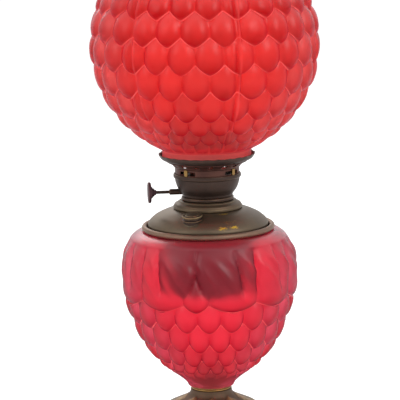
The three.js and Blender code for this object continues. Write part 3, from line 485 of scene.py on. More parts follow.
def scale_height(aside, up):
    """Height of a scale, 0 to 1: an egg-shaped pillow, 1 - r^k where r^2 is (2 aside)^2 plus
    ((0.6 - up) / 0.62)^2 below up 0.6 and ((up - 0.6) / 0.82)^2 above it; k goes from 3.2 at
    the tip to 2.2 at the top."""
    along = np.where(up < 0.6, (0.6 - up) / 0.62, (up - 0.6) / 0.82)
    apart = np.minimum(np.sqrt((2 * aside) ** 2 + along ** 2), 1)
    return 0.04 + 0.96 * (1 - apart ** (2.2 + held((1.1 - up) / 0.6)))


row_shares = np.array([0, 0.02, 0.05, 0.1, 0.18, 0.28, 0.4, 0.52, 0.64, 0.76, 0.86, 0.94, 0.985])


def scale_rows(around, first, last, last_aside=None):
    """Grid lines that run along the scales' own edges. A share t of the way from a row's edge to
    the next row's, a line lies at row + t + (1 - t) c(own) + t c(next). Gives each point's place
    in rows, its height, how near it is to an edge, where a painted highlight line goes, and how
    deep it lies in a scale's lower half, where thicker glass and painted shade deepen the colour."""
    row = np.repeat(np.arange(first, last + 1), len(row_shares))[:, None]
    share = np.tile(row_shares, last + 1 - first)[:, None]
    own, above = off_middle(around, row), tip_curve(off_middle(around, row + 1))
    if last_aside is not None:
        own = np.where(row == last, last_aside, own)
        above = np.where(row == last - 1, tip_curve(last_aside), np.where(row == last, 0, above))
    rows = row + share + (1 - share) * tip_curve(own) + share * above
    height = scale_height(own, rows - row)
    # Lip: where the painted highlight line along each scale's lower edge goes.
    lip = np.exp(-(share / 0.03) ** 2) * held(0.4 + 1.6 * np.abs(own))
    # Deep: the lower half of each pillow, drawn deeper for its thicker glass and as painted shade.
    thick_and_shaded = held(1.15 - 1.5 * (rows - row)) * held(height * 3 - 0.2)
    return rows, height, lip, thick_and_shaded


body_scales, scales_a_third, columns_a_scale = 21, 7, 18
glass_foot, glass_top, body_depth, plain_height = 90.6, 271.5, 7.0, 0.9
body_crest = np.array([
    (glass_foot, 26), (93.9, 28), (99.8, 34.2), (105.7, 41.8), (111, 49.5), (115, 54.5), (125, 64.2),
    (133.5, 71.5), (140, 76), (148.5, 81), (156, 84.3), (165, 88), (175, 91.5), (185, 95),
    (195, 98), (205, 100.3), (215, 101.6), (222, 101.9), (230, 101.6), (237.2, 100.8),
    (244.1, 99.3), (250.4, 97), (255, 94.8), (259.1, 92.5), (262.9, 89.9), (266.5, 86.5),
    (269, 83), (270.7, 79.5), (glass_top, 75.8)])
body_tips = np.array([
    (-1, glass_foot), (0, 100.5), (1, 110.5), (2, 120.4), (3, 140.5), (4, 166.6), (5, 192.6),
    (6, 214), (7, 240), (8, 261.9), (9, glass_top)])
body_seam = -9.4


def eased(table, value, rounds=2):
    """Values of a two-column table at value, with its corners cut off rounds times."""
    line = np.array(table, float)
    for _ in range(rounds):
        cut = np.stack([0.75 * line[:-1] + 0.25 * line[1:], 0.25 * line[:-1] + 0.75 * line[1:]], 1)
        line = np.concatenate([line[:1], cut.reshape(-1, 2), line[-1:]])
    return np.interp(value, line[:, 0], line[:, 1])


def leaf_aside(around):
    """Place across the leaf at the lower edge of the crown, -0.5 to 0.5. Each third of the body
    has a narrow leaf on its seam and three leaves two scales wide."""
    third = around % scales_a_third
    return np.where(third < 1, third - 0.5, ((third - 1) / 2) % 1 - 0.5)


def crown_height(around, rows):
    """Height of the leaves. Each wide leaf is crowned across, split by a sharp midrib and crossed
    by veins that run down to the right; the narrow one ends in a point by row 6.8, and all fade
    into the smooth shoulder by row eight."""
    third = (around - 0.5) % scales_a_third
    fade = held((8.2 - rows) / 0.9) ** 0.7
    down = 8 - rows
    point = 0.5 * held((6.9 - rows) / 1.4)
    edges = [-point, point, 2.5 + 0 * down, 4.5 + 0 * down, scales_a_third - point,
             scales_a_third + point]
    ribs = [9 + 0 * down, 1.6 + 0.13 * down, 3.55 + 0.1 * down, 5.3 + 0.13 * down, 9 + 0 * down]
    height = np.ones(np.broadcast(around, rows).shape)
    for number, (left, right, rib) in enumerate(zip(edges[:-1], edges[1:], ribs)):
        here = (third >= left) & (third < right)
        share = (third - left) / np.maximum(right - left, 0.01)
        at_left, at_right, split = [np.exp(-np.abs(apart) ** 1.2) for apart in (
            (third - left) / 0.13, (right - third) / 0.1,
            (third - rib) / np.where(third < rib, 0.07, 0.2))]
        vein = 0.5 + 0.5 * np.cos(2 * np.pi * ((third - 0.6 * down) / 0.68 + 0.3 * number))
        vein = vein ** 1.6 * held(down / 0.5) * (number % 4 > 0)
        leaf = (0.86 - 0.3 * (2 * share - 1) ** 2 - 0.7 * (at_left + at_right)
                - 0.62 * split + 0.22 * vein * (1 - split))
        height = np.where(here, 1 - fade * (1 - leaf), height)
    past_seam = third - scales_a_third * (third > scales_a_third / 2)
    seam = np.exp(-(past_seam / 0.045) ** 2) * held((rows - 6.9) / 0.4)
    height = np.minimum(height + 0.4 * seam * held((8.6 - rows) / 0.3), 1.04)
    lobes = 0.2 + 0.8 * scale_height(leaf_aside(around), rows - 5)
    merged = held((rows - 5.5) / 1.1)
    return lobes + (height - lobes) * merged * merged * (3 - 2 * merged)


def glass_shell(name, skin, hollow, body, finish, node, **layers):
    """A closed shell from its pressed skin, one row of points after another, and the plain
    inner face given as rows of radius and height in mm."""
    angle, _ = angle_and_radius(skin[0])
    inner = around_lamp(hollow[:, :1], angle, hollow[:, 1:])
    points = np.concatenate([skin, inner])
    faces = grid_faces(*points.shape[:2], rows_meet=True, columns_meet=True)
    spread = {key: np.concatenate([value, np.zeros(inner.shape[:2])]).ravel()
              for key, value in layers.items()}
    piece(name, points, faces, body, "red_glass", finish, [node], sharp=50, **spread)


def ruby_glass(name, thin, thick, side, clear, satin, foot):
    """Satin ruby glass: the thin colour darkens to thick in the lower half of each scale, partly for
    the thicker glass there and partly as painted shade, and to side where it is seen edge on.
    Painted highlights along the lips shine unevenly and glow faintly, and skin that faces up has a
    soft gloss. Clear is how much light goes through and satin its blur, with more blur and a faint
    painted glow up to 40 mm above foot, a height in metres."""
    tree = Shader(bpy.data.materials.new(name))
    place = tree.node("TexCoord", output="Object")
    swell, lip = [tree.node("Attribute", {"attribute_name": layer}, output="Fac")
                  for layer in ("swell", "lip")]
    cloud = tree.node("TexNoise", Vector=place, Scale=22.0, Detail=3.0)
    grain = tree.node("TexNoise", Vector=place, Scale=900.0, Detail=2.0)
    # The lower half of each scale deepens towards thick, for thicker glass and as painted shade.
    depth = (swell * (0.35 + cloud * 1.3)).least(1)
    # Painted highlight along the scale lips, broken up by the noise.
    bright_lip = lip * (cloud * 2.6 - 0.5).least(1)
    # Near the foot the glass gets more blur and a faint painted glow.
    foot_blur_and_glow = 1 - tree.node("SeparateXYZ", Vector=place, output="Z").steps_up(foot, foot + 0.04)
    normal = tree.node("NewGeometry", output="Normal")
    upward = tree.node("SeparateXYZ", Vector=normal, output="Z")
    edge_on = tree.node("LayerWeight", output="Facing", Blend=0.5)
    turned_away = tree.mix(edge_on ** 1.6 * 1.1, tree.mix(depth, thin, thick), side)
    # The pale pink in the base colour is the painted lip highlight; the emission is a faint painted glow.
    return tree.finish(
        Base_Color=tree.mix(bright_lip * 0.55, turned_away, paint(255, 150, 146)),
        Roughness=satin + grain * 0.1 + foot_blur_and_glow * 0.35,
        Transmission_Weight=clear, IOR=1.2, Specular_IOR_Level=0.1,
        Coat_Weight=upward.steps_up(0.1, 0.75) * 0.84, Coat_Roughness=0.26,
        Emission_Color=tree.mix(bright_lip + foot_blur_and_glow * 0.1, (0, 0, 0, 1), paint(200, 100, 98)),
        Emission_Strength=1.0,
        Normal=tree.node("Bump", Strength=0.08, Distance=0.0003, Height=grain))


body_columns = body_scales * columns_a_scale
body_angles = np.arange(body_columns) / body_columns * 360
body_around = (body_angles - body_seam) / 360 * body_scales + 0.5
scale_places, scale_heights, scale_lips, scale_thick_and_shaded = scale_rows(
    body_around, -1, 5, leaf_aside(body_around))
rise = np.concatenate([[0, 0.006, 0.015, 0.03, 0.05], np.linspace(0.075, 0.96, 38), [0.985, 1]])
crown_places = 6 + rise[:, None] * 3 + 0 * body_around
last_row = slice(-len(row_shares), None)
scale_heights[last_row] = crown_height(body_around, scale_places[last_row])
body_places = np.concatenate([
    np.full((1, body_columns), -1.0), np.maximum(scale_places, -0.75), crown_places])
body_heights = np.concatenate([
    np.full((1, body_columns), plain_height), scale_heights, crown_height(body_around, crown_places)])
above_foot = held(body_places - 0.5)
body_heights = body_heights * above_foot + plain_height * (1 - above_foot)
# Painted highlight lines on the scale lips, and the deeper tone of the scales' lower halves, partly thicker
# glass and partly painted shade.
body_lips, body_thick_and_shaded = [
    np.concatenate([np.zeros((1, body_columns)), layer, 0 * crown_places]) * above_foot
    for layer in (scale_lips, scale_thick_and_shaded)]
body_level = np.interp(body_places, *body_tips.T)
crest_radius = eased(body_crest, body_level)
crest_lean = eased(body_crest, body_level + 0.5) - eased(body_crest, body_level - 0.5)
crest_long = np.hypot(1, crest_lean)
top_fade = held((glass_top - body_level) / 3)
foot_fade = held((body_level - glass_foot) / 3)
body_inset = body_depth * (1 - body_heights) * top_fade * foot_fade
body_radius = crest_radius - body_inset / crest_long
body_level = body_level + body_inset * crest_lean / crest_long
body_skin = around_lamp(body_radius, np.radians(body_angles), body_level)
body_hollow = np.array([
    (72.3, 271.4), (75, 268.2), (79.5, 263.6), (85, 257), (89.4, 248.5), (92.2, 239),
    (93.2, 226), (92.4, 213), (89.4, 195), (83.4, 176.5), (76.2, 158), (67.3, 143.4),
    (55.2, 129.2), (43.4, 116.4), (32.6, 105.5), (22, 96.7), (9.5, 96.6), (9.5, glass_foot)])
# The thick colour is the deeper lower-half tone, partly painted shade.
ruby_body = ruby_glass("ruby_glass_body", paint(252, 107, 128), paint(204, 30, 66),
                       paint(126, 10, 62), 0.9, 0.42, 0.1)
glass_shell("body_shell", body_skin, body_hollow, "stand", ruby_body, "body_glass",
            swell=body_thick_and_shaded, lip=body_lips)

# The vase ring is spun brass, cemented on the mouth of the body: a rolled bead on a skirt that
# goes down inside the glass, with a ledge on which the font's flange rests.
roll_centre, roll_radius = (72.4, 275), 3.2
roll = [(roll_centre[0] + roll_radius * math.cos(a), roll_centre[1] + roll_radius * math.sin(a), 0.8)
        for a in np.radians(np.linspace(-118, 152, 12))]
turned_piece("vase_rim", "vase_ring", "stand", "aged_brass", aged_brass, [
    (68.1, 263, 0.2), (69.6, 263, 0.2), (69.6, 271.8, 0.2), *roll, (68.4, 271.4, 0.3),
    (63.1, 271.2, 0.3), (63.1, 270, 0.3), (68.1, 270, 0.2)], sides=128, worn=0.8)

# The font is the oil tank, spun from sheet brass: a deep bowl that hangs inside the glass under
# a low dome, with a draught tube through its middle. The dome's hole for the filler is made by
# leaving out its squares there and drawing their ragged edge to a circle.
# The tank's very dark brass is partly oil on it and partly painted shade for the dark inside the glass body.
oily_and_shaded_brass = metal(
    "oily_and_shaded_brass", paint(56, 40, 38), paint(34, 26, 28), paint(82, 62, 48), 0.5, 40, 0.7, 0.6)
turned_piece("font_tank", "font_bowl", "font", "dark_brass", oily_and_shaded_brass, [
    (13.9, 195.5, 0.4), (52.5, 195.5, 20), (52.5, 271.5, 0.4), (67.7, 271.5, 0.4),
    (67.7, 272.7, 0.4), (51.3, 272.7, 0.4), (51.3, 196.7, 19), (13.9, 196.7, 0.4)], steps=8)

font_brass = metal(
    "font_brass", paint(112, 94, 74), paint(72, 66, 60), paint(134, 116, 84), 0.4, 17, 1.0)
dome_brass = metal(
    "dome_brass", paint(118, 100, 78), paint(72, 68, 64), paint(198, 166, 60), 0.38, 15, 1.0)
filler_turn, filler_distance = math.radians(-19.2), 53.5
filler_at = np.array([math.sin(filler_turn), -math.cos(filler_turn)]) * filler_distance
hole_radius, hole_cut = 9.9, 8.6
rubbed_spots = (
    (24, 43.5, 9, 1.8, 1.4), (14, 66, 5, 1.8, 1.1), (26, 65.5, 5, 1.5, 1.1), (22, 59, 16, 6, 0.6),
    (-52, 60, 12, 3, 0.3), (120, 58, 16, 4, 0.6), (215, 55, 12, 5, 0.6))
dome_points, dome_faces, _ = spun([
    (67.3, 273, 0.4), (68.7, 278.8, 2.5), (67.4, 281.7, 2), (64.8, 284.6, 2), (61.4, 287.4, 2),
    (58.7, 289.3, 2), (54, 291.6, 3), (50, 293.4, 3), (46, 294.8, 3), (42, 295.8, 3), (38.5, 296.3, 2),
    (29.5, 296.3, 0.3), (29.5, 295.1, 0.3), (38.5, 295.1, 2), (46, 293.6, 3), (54, 290.4, 3),
    (61, 286.2, 3), (66.1, 281, 2), (67.4, 278, 2), (66.1, 273, 0.3)], 240, 4, 1.8)
dome_flat = dome_points.reshape(-1, 3)
from_filler = np.linalg.norm(dome_flat[:, :2] - filler_at, axis=1)
near = from_filler[dome_faces].min(1) < hole_cut
dome_kept = dome_faces[~near]
ragged = np.intersect1d(dome_faces[near], dome_kept)
outward = dome_flat[ragged, :2] - filler_at
outward /= np.linalg.norm(outward, axis=1, keepdims=True)
dome_flat[ragged, :2] = filler_at + outward * hole_radius
dome_angle, dome_radius = angle_and_radius(dome_flat)
dome_rubbed = sum(
    strength * np.exp(-((dome_angle - math.radians(at)) * 60 / long) ** 2
                      - ((dome_radius - radius) / wide) ** 2)
    for at, radius, long, wide, strength in rubbed_spots)
dome_rubbed = dome_rubbed * np.random.default_rng(5).random(len(dome_flat)) ** 0.7
piece("font_cover", dome_flat, dome_kept, "font", "aged_brass", dome_brass, ["font_dome"],
      wear=dome_rubbed)

for node, body, inner, outer, low, high in (
        ("draught_tube", "font", 12.6, 13.6, 191.5, 350.2),
        ("wick_tube", "burner", 18.3, 19.3, 297.7, 351.2)):
    turned_piece(node + "_skin", node, body, "aged_brass", aged_brass, [
        (inner, low, 0.2), (outer, low, 0.2), (outer, high, 0.3), (inner, high, 0.3)], 64, 3)

# The filler stands in the dome and leans a little outward: a short wide neck, a leather gasket
# and a cap that plugs it, milled round its edge. The cap is turned brass, darkened by oil.
lean, filler_height = math.radians(8), 291.7
filler_frame = np.array([
    [math.cos(filler_turn), math.sin(filler_turn), 0],
    [-math.sin(filler_turn) * math.cos(lean), math.cos(filler_turn) * math.cos(lean), math.sin(lean)],
    [math.sin(filler_turn) * math.sin(lean), -math.cos(filler_turn) * math.sin(lean), math.cos(lean)]])


def on_filler(points):
    """Points about the filler's own axis, up from where it crosses the dome, put in place."""
    return points @ filler_frame + [*filler_at, filler_height]


def milled(points, beyond, depth, teeth):
    """Teeth round a turned edge: outside the radius beyond, every gap takes depth of it off."""
    angle, radius = angle_and_radius(points)
    left = 1 - np.where(radius > beyond, depth * (np.sin(angle * teeth) > 0), 0)
    return points * np.stack([left, left, np.ones_like(left)], -1)


turned_piece("filler_spout", "filler_neck", "font", "aged_brass", dark_brass, [
    (8.9, -8, 0.2), (10.1, -8, 0.2), (10.1, -0.4, 0.2), (11.5, -0.2, 0.4), (11.6, 0.8, 0.4),
    (10.1, 1.2, 0.3), (9.5, 1.7, 0.2), (9.5, 2.7, 0.2), (8.9, 2.7, 0.2)], 64, 3, place=on_filler)
hide = Shader(bpy.data.materials.new("gasket_leather"))
hide_at = hide.node("TexCoord", output="Object")
hide_cloud = hide.node("TexNoise", Vector=hide_at, Scale=600.0, Detail=4.0)
leather_colour = hide.mix(hide_cloud, paint(52, 34, 24), paint(104, 74, 50))
dress(hide.finish(Roughness=0.8, Base_Color=leather_colour), "cap_gasket")
turned_piece("filler_lid", "filler_cap", "filler_cap", "aged_brass", font_brass, [
    (0, -0.1, 0), (8.5, -0.1, 0.4), (8.5, 3.9, 0.1), (11.3, 3.9, 0.3), (11.7, 4.3, 0.3),
    (11.7, 5.2, 0.4), (11.1, 5.7, 0.5), (8.9, 5.7, 0.3), (8.4, 5.4, 0.3), (7.6, 5.4, 0.3),
    (7.1, 6.2, 0.4), (0, 6.3, 0)], 120, 3,
    place=lambda points: on_filler(milled(points, 11.2, 0.014, 40)))

# The font's collar is a stepped ring of cast brass soldered on the dome, threaded inside to take
# the burner. Its shoulders are rubbed.
turned_piece("font_neck_ring", "font_collar", "font", "aged_brass", font_brass, [
    (27, 296.6, 0.3), (38.6, 296.6, 0.3), (39.1, 297.4, 0.6), (39.1, 299.6, 1), (38.2, 300.6, 0.5),
    (37.4, 302.2, 0.8), (35.4, 303.2, 1), (33.2, 304.3, 1), (32.6, 305.3, 0.5), (31.2, 306, 0.6),
    (27, 306, 0.3)], 112)

# The burner screws into the collar: a threaded ring with a beaded flange, and above it a spun
# bowl with a groove under its lip. The bowl holds the air deck and the wick tubes.
turned_piece("burner_flange", "burner_ring", "burner", "dark_brass", dark_brass, [
    (24.6, 296.3, 0.2), (26.6, 296.3, 0.3), (26.6, 306.3, 0.2), (28.7, 306.3, 0.4),
    (29.7, 307.3, 0.5), (29.7, 309.5, 0.6), (28.6, 310.5, 0.5), (24.6, 310.5, 0.3)])
turned_piece("burner_cup", "burner_bowl", "burner", "dark_brass", dark_brass, [
    (24.6, 310.8, 0.2), (28.2, 310.8, 0.5), (28.9, 313.4, 0.6), (31.3, 316.5, 2), (33.3, 319.2, 2),
    (34.9, 323, 2.5), (35.9, 326.4, 2.5), (36.5, 329, 1.5), (36.7, 331, 0.4), (37.0, 331.5, 0.3),
    (38.2, 332.4, 0.6), (38.5, 334.8, 1), (37.8, 336.6, 0.5), (36.8, 336.6, 0.3), (36.8, 335.4, 0.5),
    (37.2, 333.2, 0.6), (35.8, 331.4, 0.5), (34.7, 326.6, 2), (33.7, 323.3, 2), (32.2, 319.9, 2),
    (30.3, 317.3, 2), (27.8, 314, 1), (26.5, 312, 0.6), (24.6, 312, 0.2)], 112)
dress(dark_brass, "air_deck")

# The wick is a woven cotton tube between the two wick tubes. It is gripped low down by a brass
# carrier whose toothed rack the raiser drives, and its upper edge is charred.
weave = Shader(bpy.data.materials.new("wick_cotton"))
weave_at = weave.node("TexCoord", output="Object")
threads = weave.node("TexWave", {"wave_type": "BANDS", "bands_direction": "Z"},
                     Vector=weave_at, Scale=420.0, Distortion=1.5, Detail=2.0)
ribs = weave.node("TexVoronoi", Vector=weave_at, Scale=700.0)
char = weave.node("SeparateXYZ", Vector=weave_at, output="Z").steps_up(0.3465, 0.3525)
woven = weave.mix(threads, paint(176, 160, 128), paint(226, 214, 188))
cotton = weave.finish(
    Roughness=0.95, Base_Color=weave.mix(char, woven, paint(26, 20, 17)),
    Normal=weave.node("Bump", Strength=0.5, Distance=0.0004, Height=threads * 0.6 + ribs * 0.4))
wick_points, wick_faces, _ = spun([
    (14, 215.2, 0.6), (16.6, 215.2, 0.6), (16.6, 352.2, 0.9), (14, 352.2, 0.9)], 72, 4)
piece("wick_weave", wick_points, wick_faces, "wick", "wick", cotton, ["wick"])
dress(aged_brass, "wick_carrier")

# The raiser is a steel-cored brass shaft in a sleeve through the bowl's side. A stepped hub and
# a thin milled wheel on its outer end are turned between finger and thumb.
raiser_turn, raiser_height = math.radians(6), 315.8
out_along = np.array([-math.cos(raiser_turn), -math.sin(raiser_turn), 0])
side_along = np.array([-math.sin(raiser_turn), math.cos(raiser_turn), 0])
raiser_frame = np.stack([side_along, np.array([0, 0, 1.0]), out_along])


def laid_out(points):
    """Points spun about Z laid along the raiser: Z runs outward from the lamp's axis."""
    return points @ raiser_frame + [0, 0, raiser_height]


turned_piece("raiser_bushing", "raiser_sleeve", "burner", "dark_brass", dark_brass, [
    (2.2, 23.8, 0.2), (3.3, 23.8, 0.2), (3.3, 42.4, 0.5), (2.9, 43.4, 0.3), (2.2, 43.4, 0.2)],
    40, 3, place=laid_out)
dress(dark_brass, "raiser_shaft")
raiser_brass = metal(
    "raiser_brass", paint(82, 54, 62), paint(52, 33, 42), paint(104, 78, 76), 0.5, 60, 0.6, 0.6)
turned_piece("thumb_disc", "thumb_wheel", "raiser", "dark_brass", raiser_brass, [
    (0, 64.4, 0), (2, 64.3, 0), (2, 58.4, 0.2), (2.9, 58.4, 0.4), (3.1, 60.3, 0.4),
    (4.6, 60.7, 0.3), (4.7, 62.3, 0.4), (6.4, 62.7, 0.3), (6.7, 64.2, 0.4), (11.0, 64.4, 0.3),
    (11.8, 65, 0.4), (11.8, 67.1, 0.4), (11.2, 67.7, 0.4), (8.5, 67.4, 0.5), (4.5, 67.9, 0.6),
    (0, 67.9, 0)], 144, 3, place=lambda points: laid_out(milled(points, 11.3, 0.02, 36)))

# The flame spreader is a perforated thimble of thin brass that drops into the draught tube and
# throws the air outward through the flame under its button.
turned_piece("flame_thimble", "flame_spreader", "spreader", "aged_brass", aged_brass, [
    (11, 336.5, 0.2), (12.2, 336.5, 0.2), (12.2, 350.5, 0.2), (13.1, 350.5, 0.2),
    (13.1, 351.7, 0.2), (12.2, 351.7, 0.2), (12.2, 365.7, 0.5), (15.6, 366.4, 0.4),
    (16, 367.2, 0.4), (14.5, 368.2, 2), (9.6, 368.7, 2), (0, 368.7, 0), (0, 367.5, 0),
    (11, 365.7, 0.5)], 72, 3)


# The gallery sits in the bowl's lip on a thin band, held by four bright upright clips, with a
# window behind each. It is spun and pierced sheet brass, as thin as card.
def strip(path, width, thick, turn, across=5):
    """A springy strip: path rows of radius and height, carried width mm round the lamp about
    the angle turn, crowned a little across and thick mm through, closed all round."""
    path = np.array(path, float)
    run = np.gradient(path, axis=0)
    run /= np.linalg.norm(run, axis=1, keepdims=True)
    square_out = np.stack([run[:, 1], -run[:, 0]], -1)
    share = np.linspace(-1, 1, across)
    narrow = width / 2 * np.sqrt(np.clip(1 - np.linspace(-1, 1, len(path)) ** 16, 0.3, 1))[:, None]
    faces_of = []
    for offset in (0, thick):
        crown = -0.12 * thick * share ** 2 * (offset > 0)
        radius = path[:, :1] + square_out[:, :1] * (offset + crown)
        height = path[:, 1:] + square_out[:, 1:] * (offset + crown)
        faces_of.append(np.stack([share * narrow, -radius + 0 * share, height + 0 * share], -1))
    points = np.concatenate([faces_of[0], faces_of[1][:, ::-1]], 1)
    turned = np.array([[math.cos(turn), math.sin(turn), 0], [-math.sin(turn), math.cos(turn), 0], [0, 0, 1]])
    squares = grid_faces(len(path), 2 * across, columns_meet=True)
    last = 2 * across - 1
    ends = [[first + i, first + i + 1, first + last - 1 - i, first + last - i]
            for first in (0, (len(path) - 1) * 2 * across) for i in range(across - 1)]
    return points @ turned, np.concatenate([squares, np.array(ends)])


def pierced(outline, sides, holes):
    """A thin surface of revolution with the squares where holes is true left out, from rows of
    radius and height. Its wall comes from a Solidify modifier."""
    outline = np.array(outline, float)
    angle = np.linspace(0, 2 * np.pi, sides, endpoint=False)[:, None]
    faces = grid_faces(sides, len(outline), rows_meet=True).reshape(sides, len(outline) - 1, 4)
    return around_lamp(outline[:, 0], angle, outline[:, 1]), faces[~holes]


def walled(name, points, faces, thick, body, slot, finish, replaced):
    """A pierced sheet given a wall thick mm through, inward from its faces."""
    made = piece(name, points, faces, body, slot, finish, replaced, wear=0.1)
    wall = made.modifiers.new("wall", "SOLIDIFY")
    wall.thickness, wall.offset = thick / 1000, -1


band_heights = np.array([333.3, 335.2, 337.3, 337.4, 338.7, 340.3, 341.8, 341.9, 343.0, 343.9])
band_sides, window_at, window_reach = 128, 51, 16
band_angle = (np.arange(band_sides) + 0.5) / band_sides * 360
band_hole = np.abs((band_angle - window_at + 45) % 90 - 45) < window_reach
band_holes = band_hole[:, None] & (band_heights[:-1] > 337.35) & (band_heights[1:] < 341.85)
band_radius = 36.4 - 0.25 * np.exp(-((band_heights - 336) / 1.2) ** 2)
band_points, band_faces = pierced(np.stack([band_radius, band_heights], -1), band_sides, band_holes)
thin_brass = metal(
    "thin_brass", paint(100, 66, 56), paint(58, 38, 38), paint(132, 98, 66), 0.42, 60, 0.9)
walled("gallery_wall", band_points, band_faces, 1.1, "gallery", "dark_brass", thin_brass,
       ["gallery_band"])

clip_path = [(36.75, 336.9), (36.75, 338), (36.8, 339.5), (36.9, 341), (36.8, 342.4),
             (36.75, 343.3), (36.75, 343.8)]
for number, degrees in enumerate((-40, 52, 142, 232), 1):
    clip_points, clip_faces = strip(clip_path, 4.6, 0.9, math.radians(degrees))
    piece(f"gallery_catch_{number}", clip_points, clip_faces, "gallery", "bright_brass",
          bright_brass, [f"gallery_clip_{number}"], wear=0.5)

# The gallery's cone spreads from the band to the shade ring. Sixteen slots round its brim let
# air up to the shade, and daylight shows through them. A shelf inside carries the chimney.
cone_curve = [
    (30.5, 344.3), (33, 344.3), (36.2, 344.4), (37.2, 345.3), (37.9, 346.4), (38.5, 347.2),
    (40.1, 348.3), (41.6, 349.3), (42.6, 349.9), (43.8, 350.4), (44.9, 350.8)]
cone_sides, slot_pitch, slot_reach = 192, 22.5, 4.6
cone_angle = (np.arange(cone_sides) + 0.5) / cone_sides * 360
cone_row = np.arange(len(cone_curve) - 1)
slot_here = np.abs((cone_angle + slot_pitch / 4) % slot_pitch - slot_pitch / 2) < slot_reach
cone_points, cone_faces = pierced(
    cone_curve, cone_sides, slot_here[:, None] & (cone_row >= 4) & (cone_row <= 8))
walled("gallery_brim", cone_points, cone_faces, 0.9, "gallery", "dark_brass", thin_brass,
       ["gallery_cone"])

holder_points, holder_faces, holder_wear = spun([
    (45.3, 350.8, 0.3), (47.6, 351.9, 1.5), (49.8, 352.6, 1), (52.1, 354.3, 1.5),
    (53.5, 356.3, 1.5), (54.2, 358.3, 0.5), (54.7, 359.1, 0.2), (53.5, 359.2, 0.2),
    (52.7, 356.8, 1), (51.4, 354.6, 1), (50.7, 353.2, 0.5), (45.3, 353.2, 0.3)], 240)
holder_angle, _ = angle_and_radius(holder_points)
lip_waves, lip_low, lip_high = 26, 355.5, 359
wave = np.cos(holder_angle * lip_waves)
lip_share = held((holder_points[..., 2] - lip_low) / (lip_high - lip_low))
holder_points[..., :2] *= (1 + lip_share * 0.006 * wave)[..., None]
holder_points[..., 2] -= lip_share * 0.5 * (1 - wave) / 2
piece("shade_holder", holder_points, holder_faces, "gallery", "dark_brass", dark_brass,
      ["shade_ring"], wear=holder_wear)
spring_path = [(33.45, 345.7), (33.5, 347), (33.7, 348.6), (33.5, 350.4), (33.45, 352),
               (33.7, 353), (34.0, 353.6)]
for number, degrees in enumerate((15, 105, 195, 285), 1):
    spring_points, spring_faces = strip(spring_path, 7, 0.6, math.radians(degrees))
    piece(f"chimney_leaf_{number}", spring_points, spring_faces, "gallery", "bright_brass",
          bright_brass, [f"chimney_spring_{number}"], wear=0.4)

# The chimney is thin clear blown glass with a bulge round the flame and a tall straight stack.
# It stands on the gallery's shelf between four springs.
panes = Shader(bpy.data.materials.new("clear_glass"))
pane_at = panes.node("TexCoord", output="Object")
wisps = panes.node("TexNoise", Vector=pane_at, Scale=14.0, Detail=3.0)
turned_away = panes.node("LayerWeight", output="Facing", Blend=0.5)
clear_glass = panes.finish(
    Base_Color=panes.mix(turned_away ** 2, (0.98, 0.99, 0.985, 1), paint(96, 112, 108)),
    Transmission_Weight=1.0, IOR=1.46, Roughness=wisps * 0.1,
    Normal=panes.node("Bump", Strength=0.05, Distance=0.001, Height=wisps))
stack_points, stack_faces, _ = spun([
    (33, 345.7, 0.8), (33, 354.9, 4), (36.2, 374.1, 14), (35.8, 384.5, 14), (31.2, 405.2, 14),
    (25.9, 421.5, 14), (23, 443.6, 20), (21.8, 488, 30), (21.2, 650.7, 0.8),
    (19.2, 650.7, 0.8), (19.8, 488, 30), (21, 443, 20), (24, 420.6, 14), (29.3, 404.6, 14),
    (33.8, 384, 14), (34.2, 374.4, 12), (31, 355.3, 4), (31, 345.7, 0.8)], 96, 6, 6)
piece("chimney_glass", stack_points, stack_faces, "chimney", "clear_glass", clear_glass,
      ["chimney"])

# The ball shade is the same satin ruby glass, blown in a mould whose six seams cross the middles
# of every other row of scales. Its neck drops into the shade ring and its crown is ground flat.
shade_tips = np.array([
    (-1, -67), (0, -57.4), (1, -48.8), (2, -38.6), (3, -25.4), (4, -11.3), (5, 2.7), (6, 16.2), (7, 29.5),
    (8, 42), (9, 53), (10, 62), (11, 66.5)])
shade_scales, shade_turn, shade_first, shade_last = 24, 17.5, -0.62, 10.25
shade_centre, shade_crest, shade_depth, shade_inside = 484.1, 129.5, 7.2, 120.3
mould_seams = (17.3, -37.8, -97, 77, 137, 197)
shade_columns = shade_scales * columns_a_scale
shade_angles = np.arange(shade_columns) / shade_columns * 360
mould_drift = np.interp((shade_angles + 180) % 360 - 180, [-100, -62, -39, -25, -12, 17, 34, 55, 80],
                        [0, 2.5, 3, 1.8, 0, -0.4, 1.4, 0.3, 0])
shade_around = (shade_angles - mould_drift - shade_turn) / 360 * shade_scales
shade_places, shade_heights, shade_lips, shade_thick_and_shaded = scale_rows(shade_around, -1, 10)
shade_places = np.clip(shade_places, shade_first, shade_last)
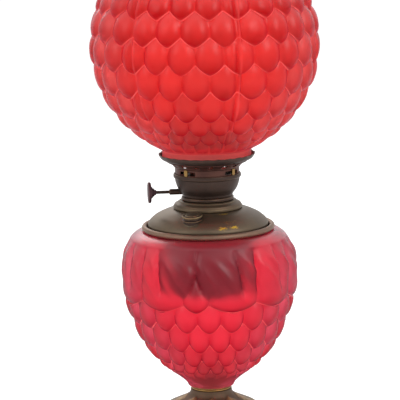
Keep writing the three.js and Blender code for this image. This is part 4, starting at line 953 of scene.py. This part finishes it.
shade_latitude = np.radians(np.interp(shade_places, *shade_tips.T))
past_seam = np.stack([(shade_angles - at + 180) % 360 - 180 for at in mould_seams])
past_seam = past_seam[np.abs(past_seam).argmin(0), np.arange(shade_columns)]
rib = np.exp(-(past_seam / 0.42) ** 2)
shade_heights = shade_heights * (1 - 0.6 * np.exp(-((past_seam + 1.6) / 1.1) ** 2))
shade_heights = shade_heights + np.maximum(0.8 - shade_heights, 0) * rib
# The seam ribs carry a faint painted highlight line too, and the lip highlights fade in the lowest rows.
shade_lips = np.maximum(shade_lips, rib * 0.3) * (0.35 + 0.65 * held(shade_places / 3))
ends_fade = held((shade_places - shade_first) / 0.5) * held((shade_last - shade_places) / 0.6)
shade_inset = shade_depth * (1 - shade_heights) * ends_fade * (0.2 + 0.8 * np.cos(shade_latitude))
shade_ball_skin = around_lamp(
    (shade_crest - shade_inset) * np.cos(shade_latitude), np.radians(shade_angles),
    shade_centre + (shade_crest - shade_inset) * np.sin(shade_latitude))


def plain_rows(outline):
    """Rows of points round the shade at each radius and height of a plain outline."""
    outline = np.array(outline)
    return around_lamp(outline[:, :1], np.radians(shade_angles), outline[:, 1:])


shade_neck = plain_rows([(50.3, 353.5), (50.3, 358), (50.3, 362.5), (50.6, 364.2)])
shade_rim = plain_rows([(52.4, 602.6), (52, 604), (52, 607.2), (48.8, 607.2)])
hollow_angle = np.linspace(math.radians(65.5), math.radians(-66.9), 20)
shade_hollow = np.concatenate([
    np.stack([shade_inside * np.cos(hollow_angle),
              shade_centre + shade_inside * np.sin(hollow_angle)], -1),
    [(47.1, 366), (47.1, 353.5)]])
# The thick colour is the deeper lower-half tone, partly painted shade.
ruby_shade = ruby_glass("ruby_glass_shade", paint(252, 105, 101), paint(184, 15, 26),
                        paint(192, 12, 68), 0.84, 0.32, 0.35)
# The plain neck and rim rows get a fifth of the painted lip highlight and of the deeper lower-half tone.
at_ends = np.full(shade_neck.shape[:2], 0.2)
shade_swell, shade_lip = [
    np.concatenate([at_ends, layer, at_ends]) for layer in (shade_thick_and_shaded, shade_lips * ends_fade)]
glass_shell("shade_ball", np.concatenate([shade_neck, shade_ball_skin, shade_rim]), shade_hollow,
            "shade", ruby_shade, "ball_shade", swell=shade_swell, lip=shade_lip)
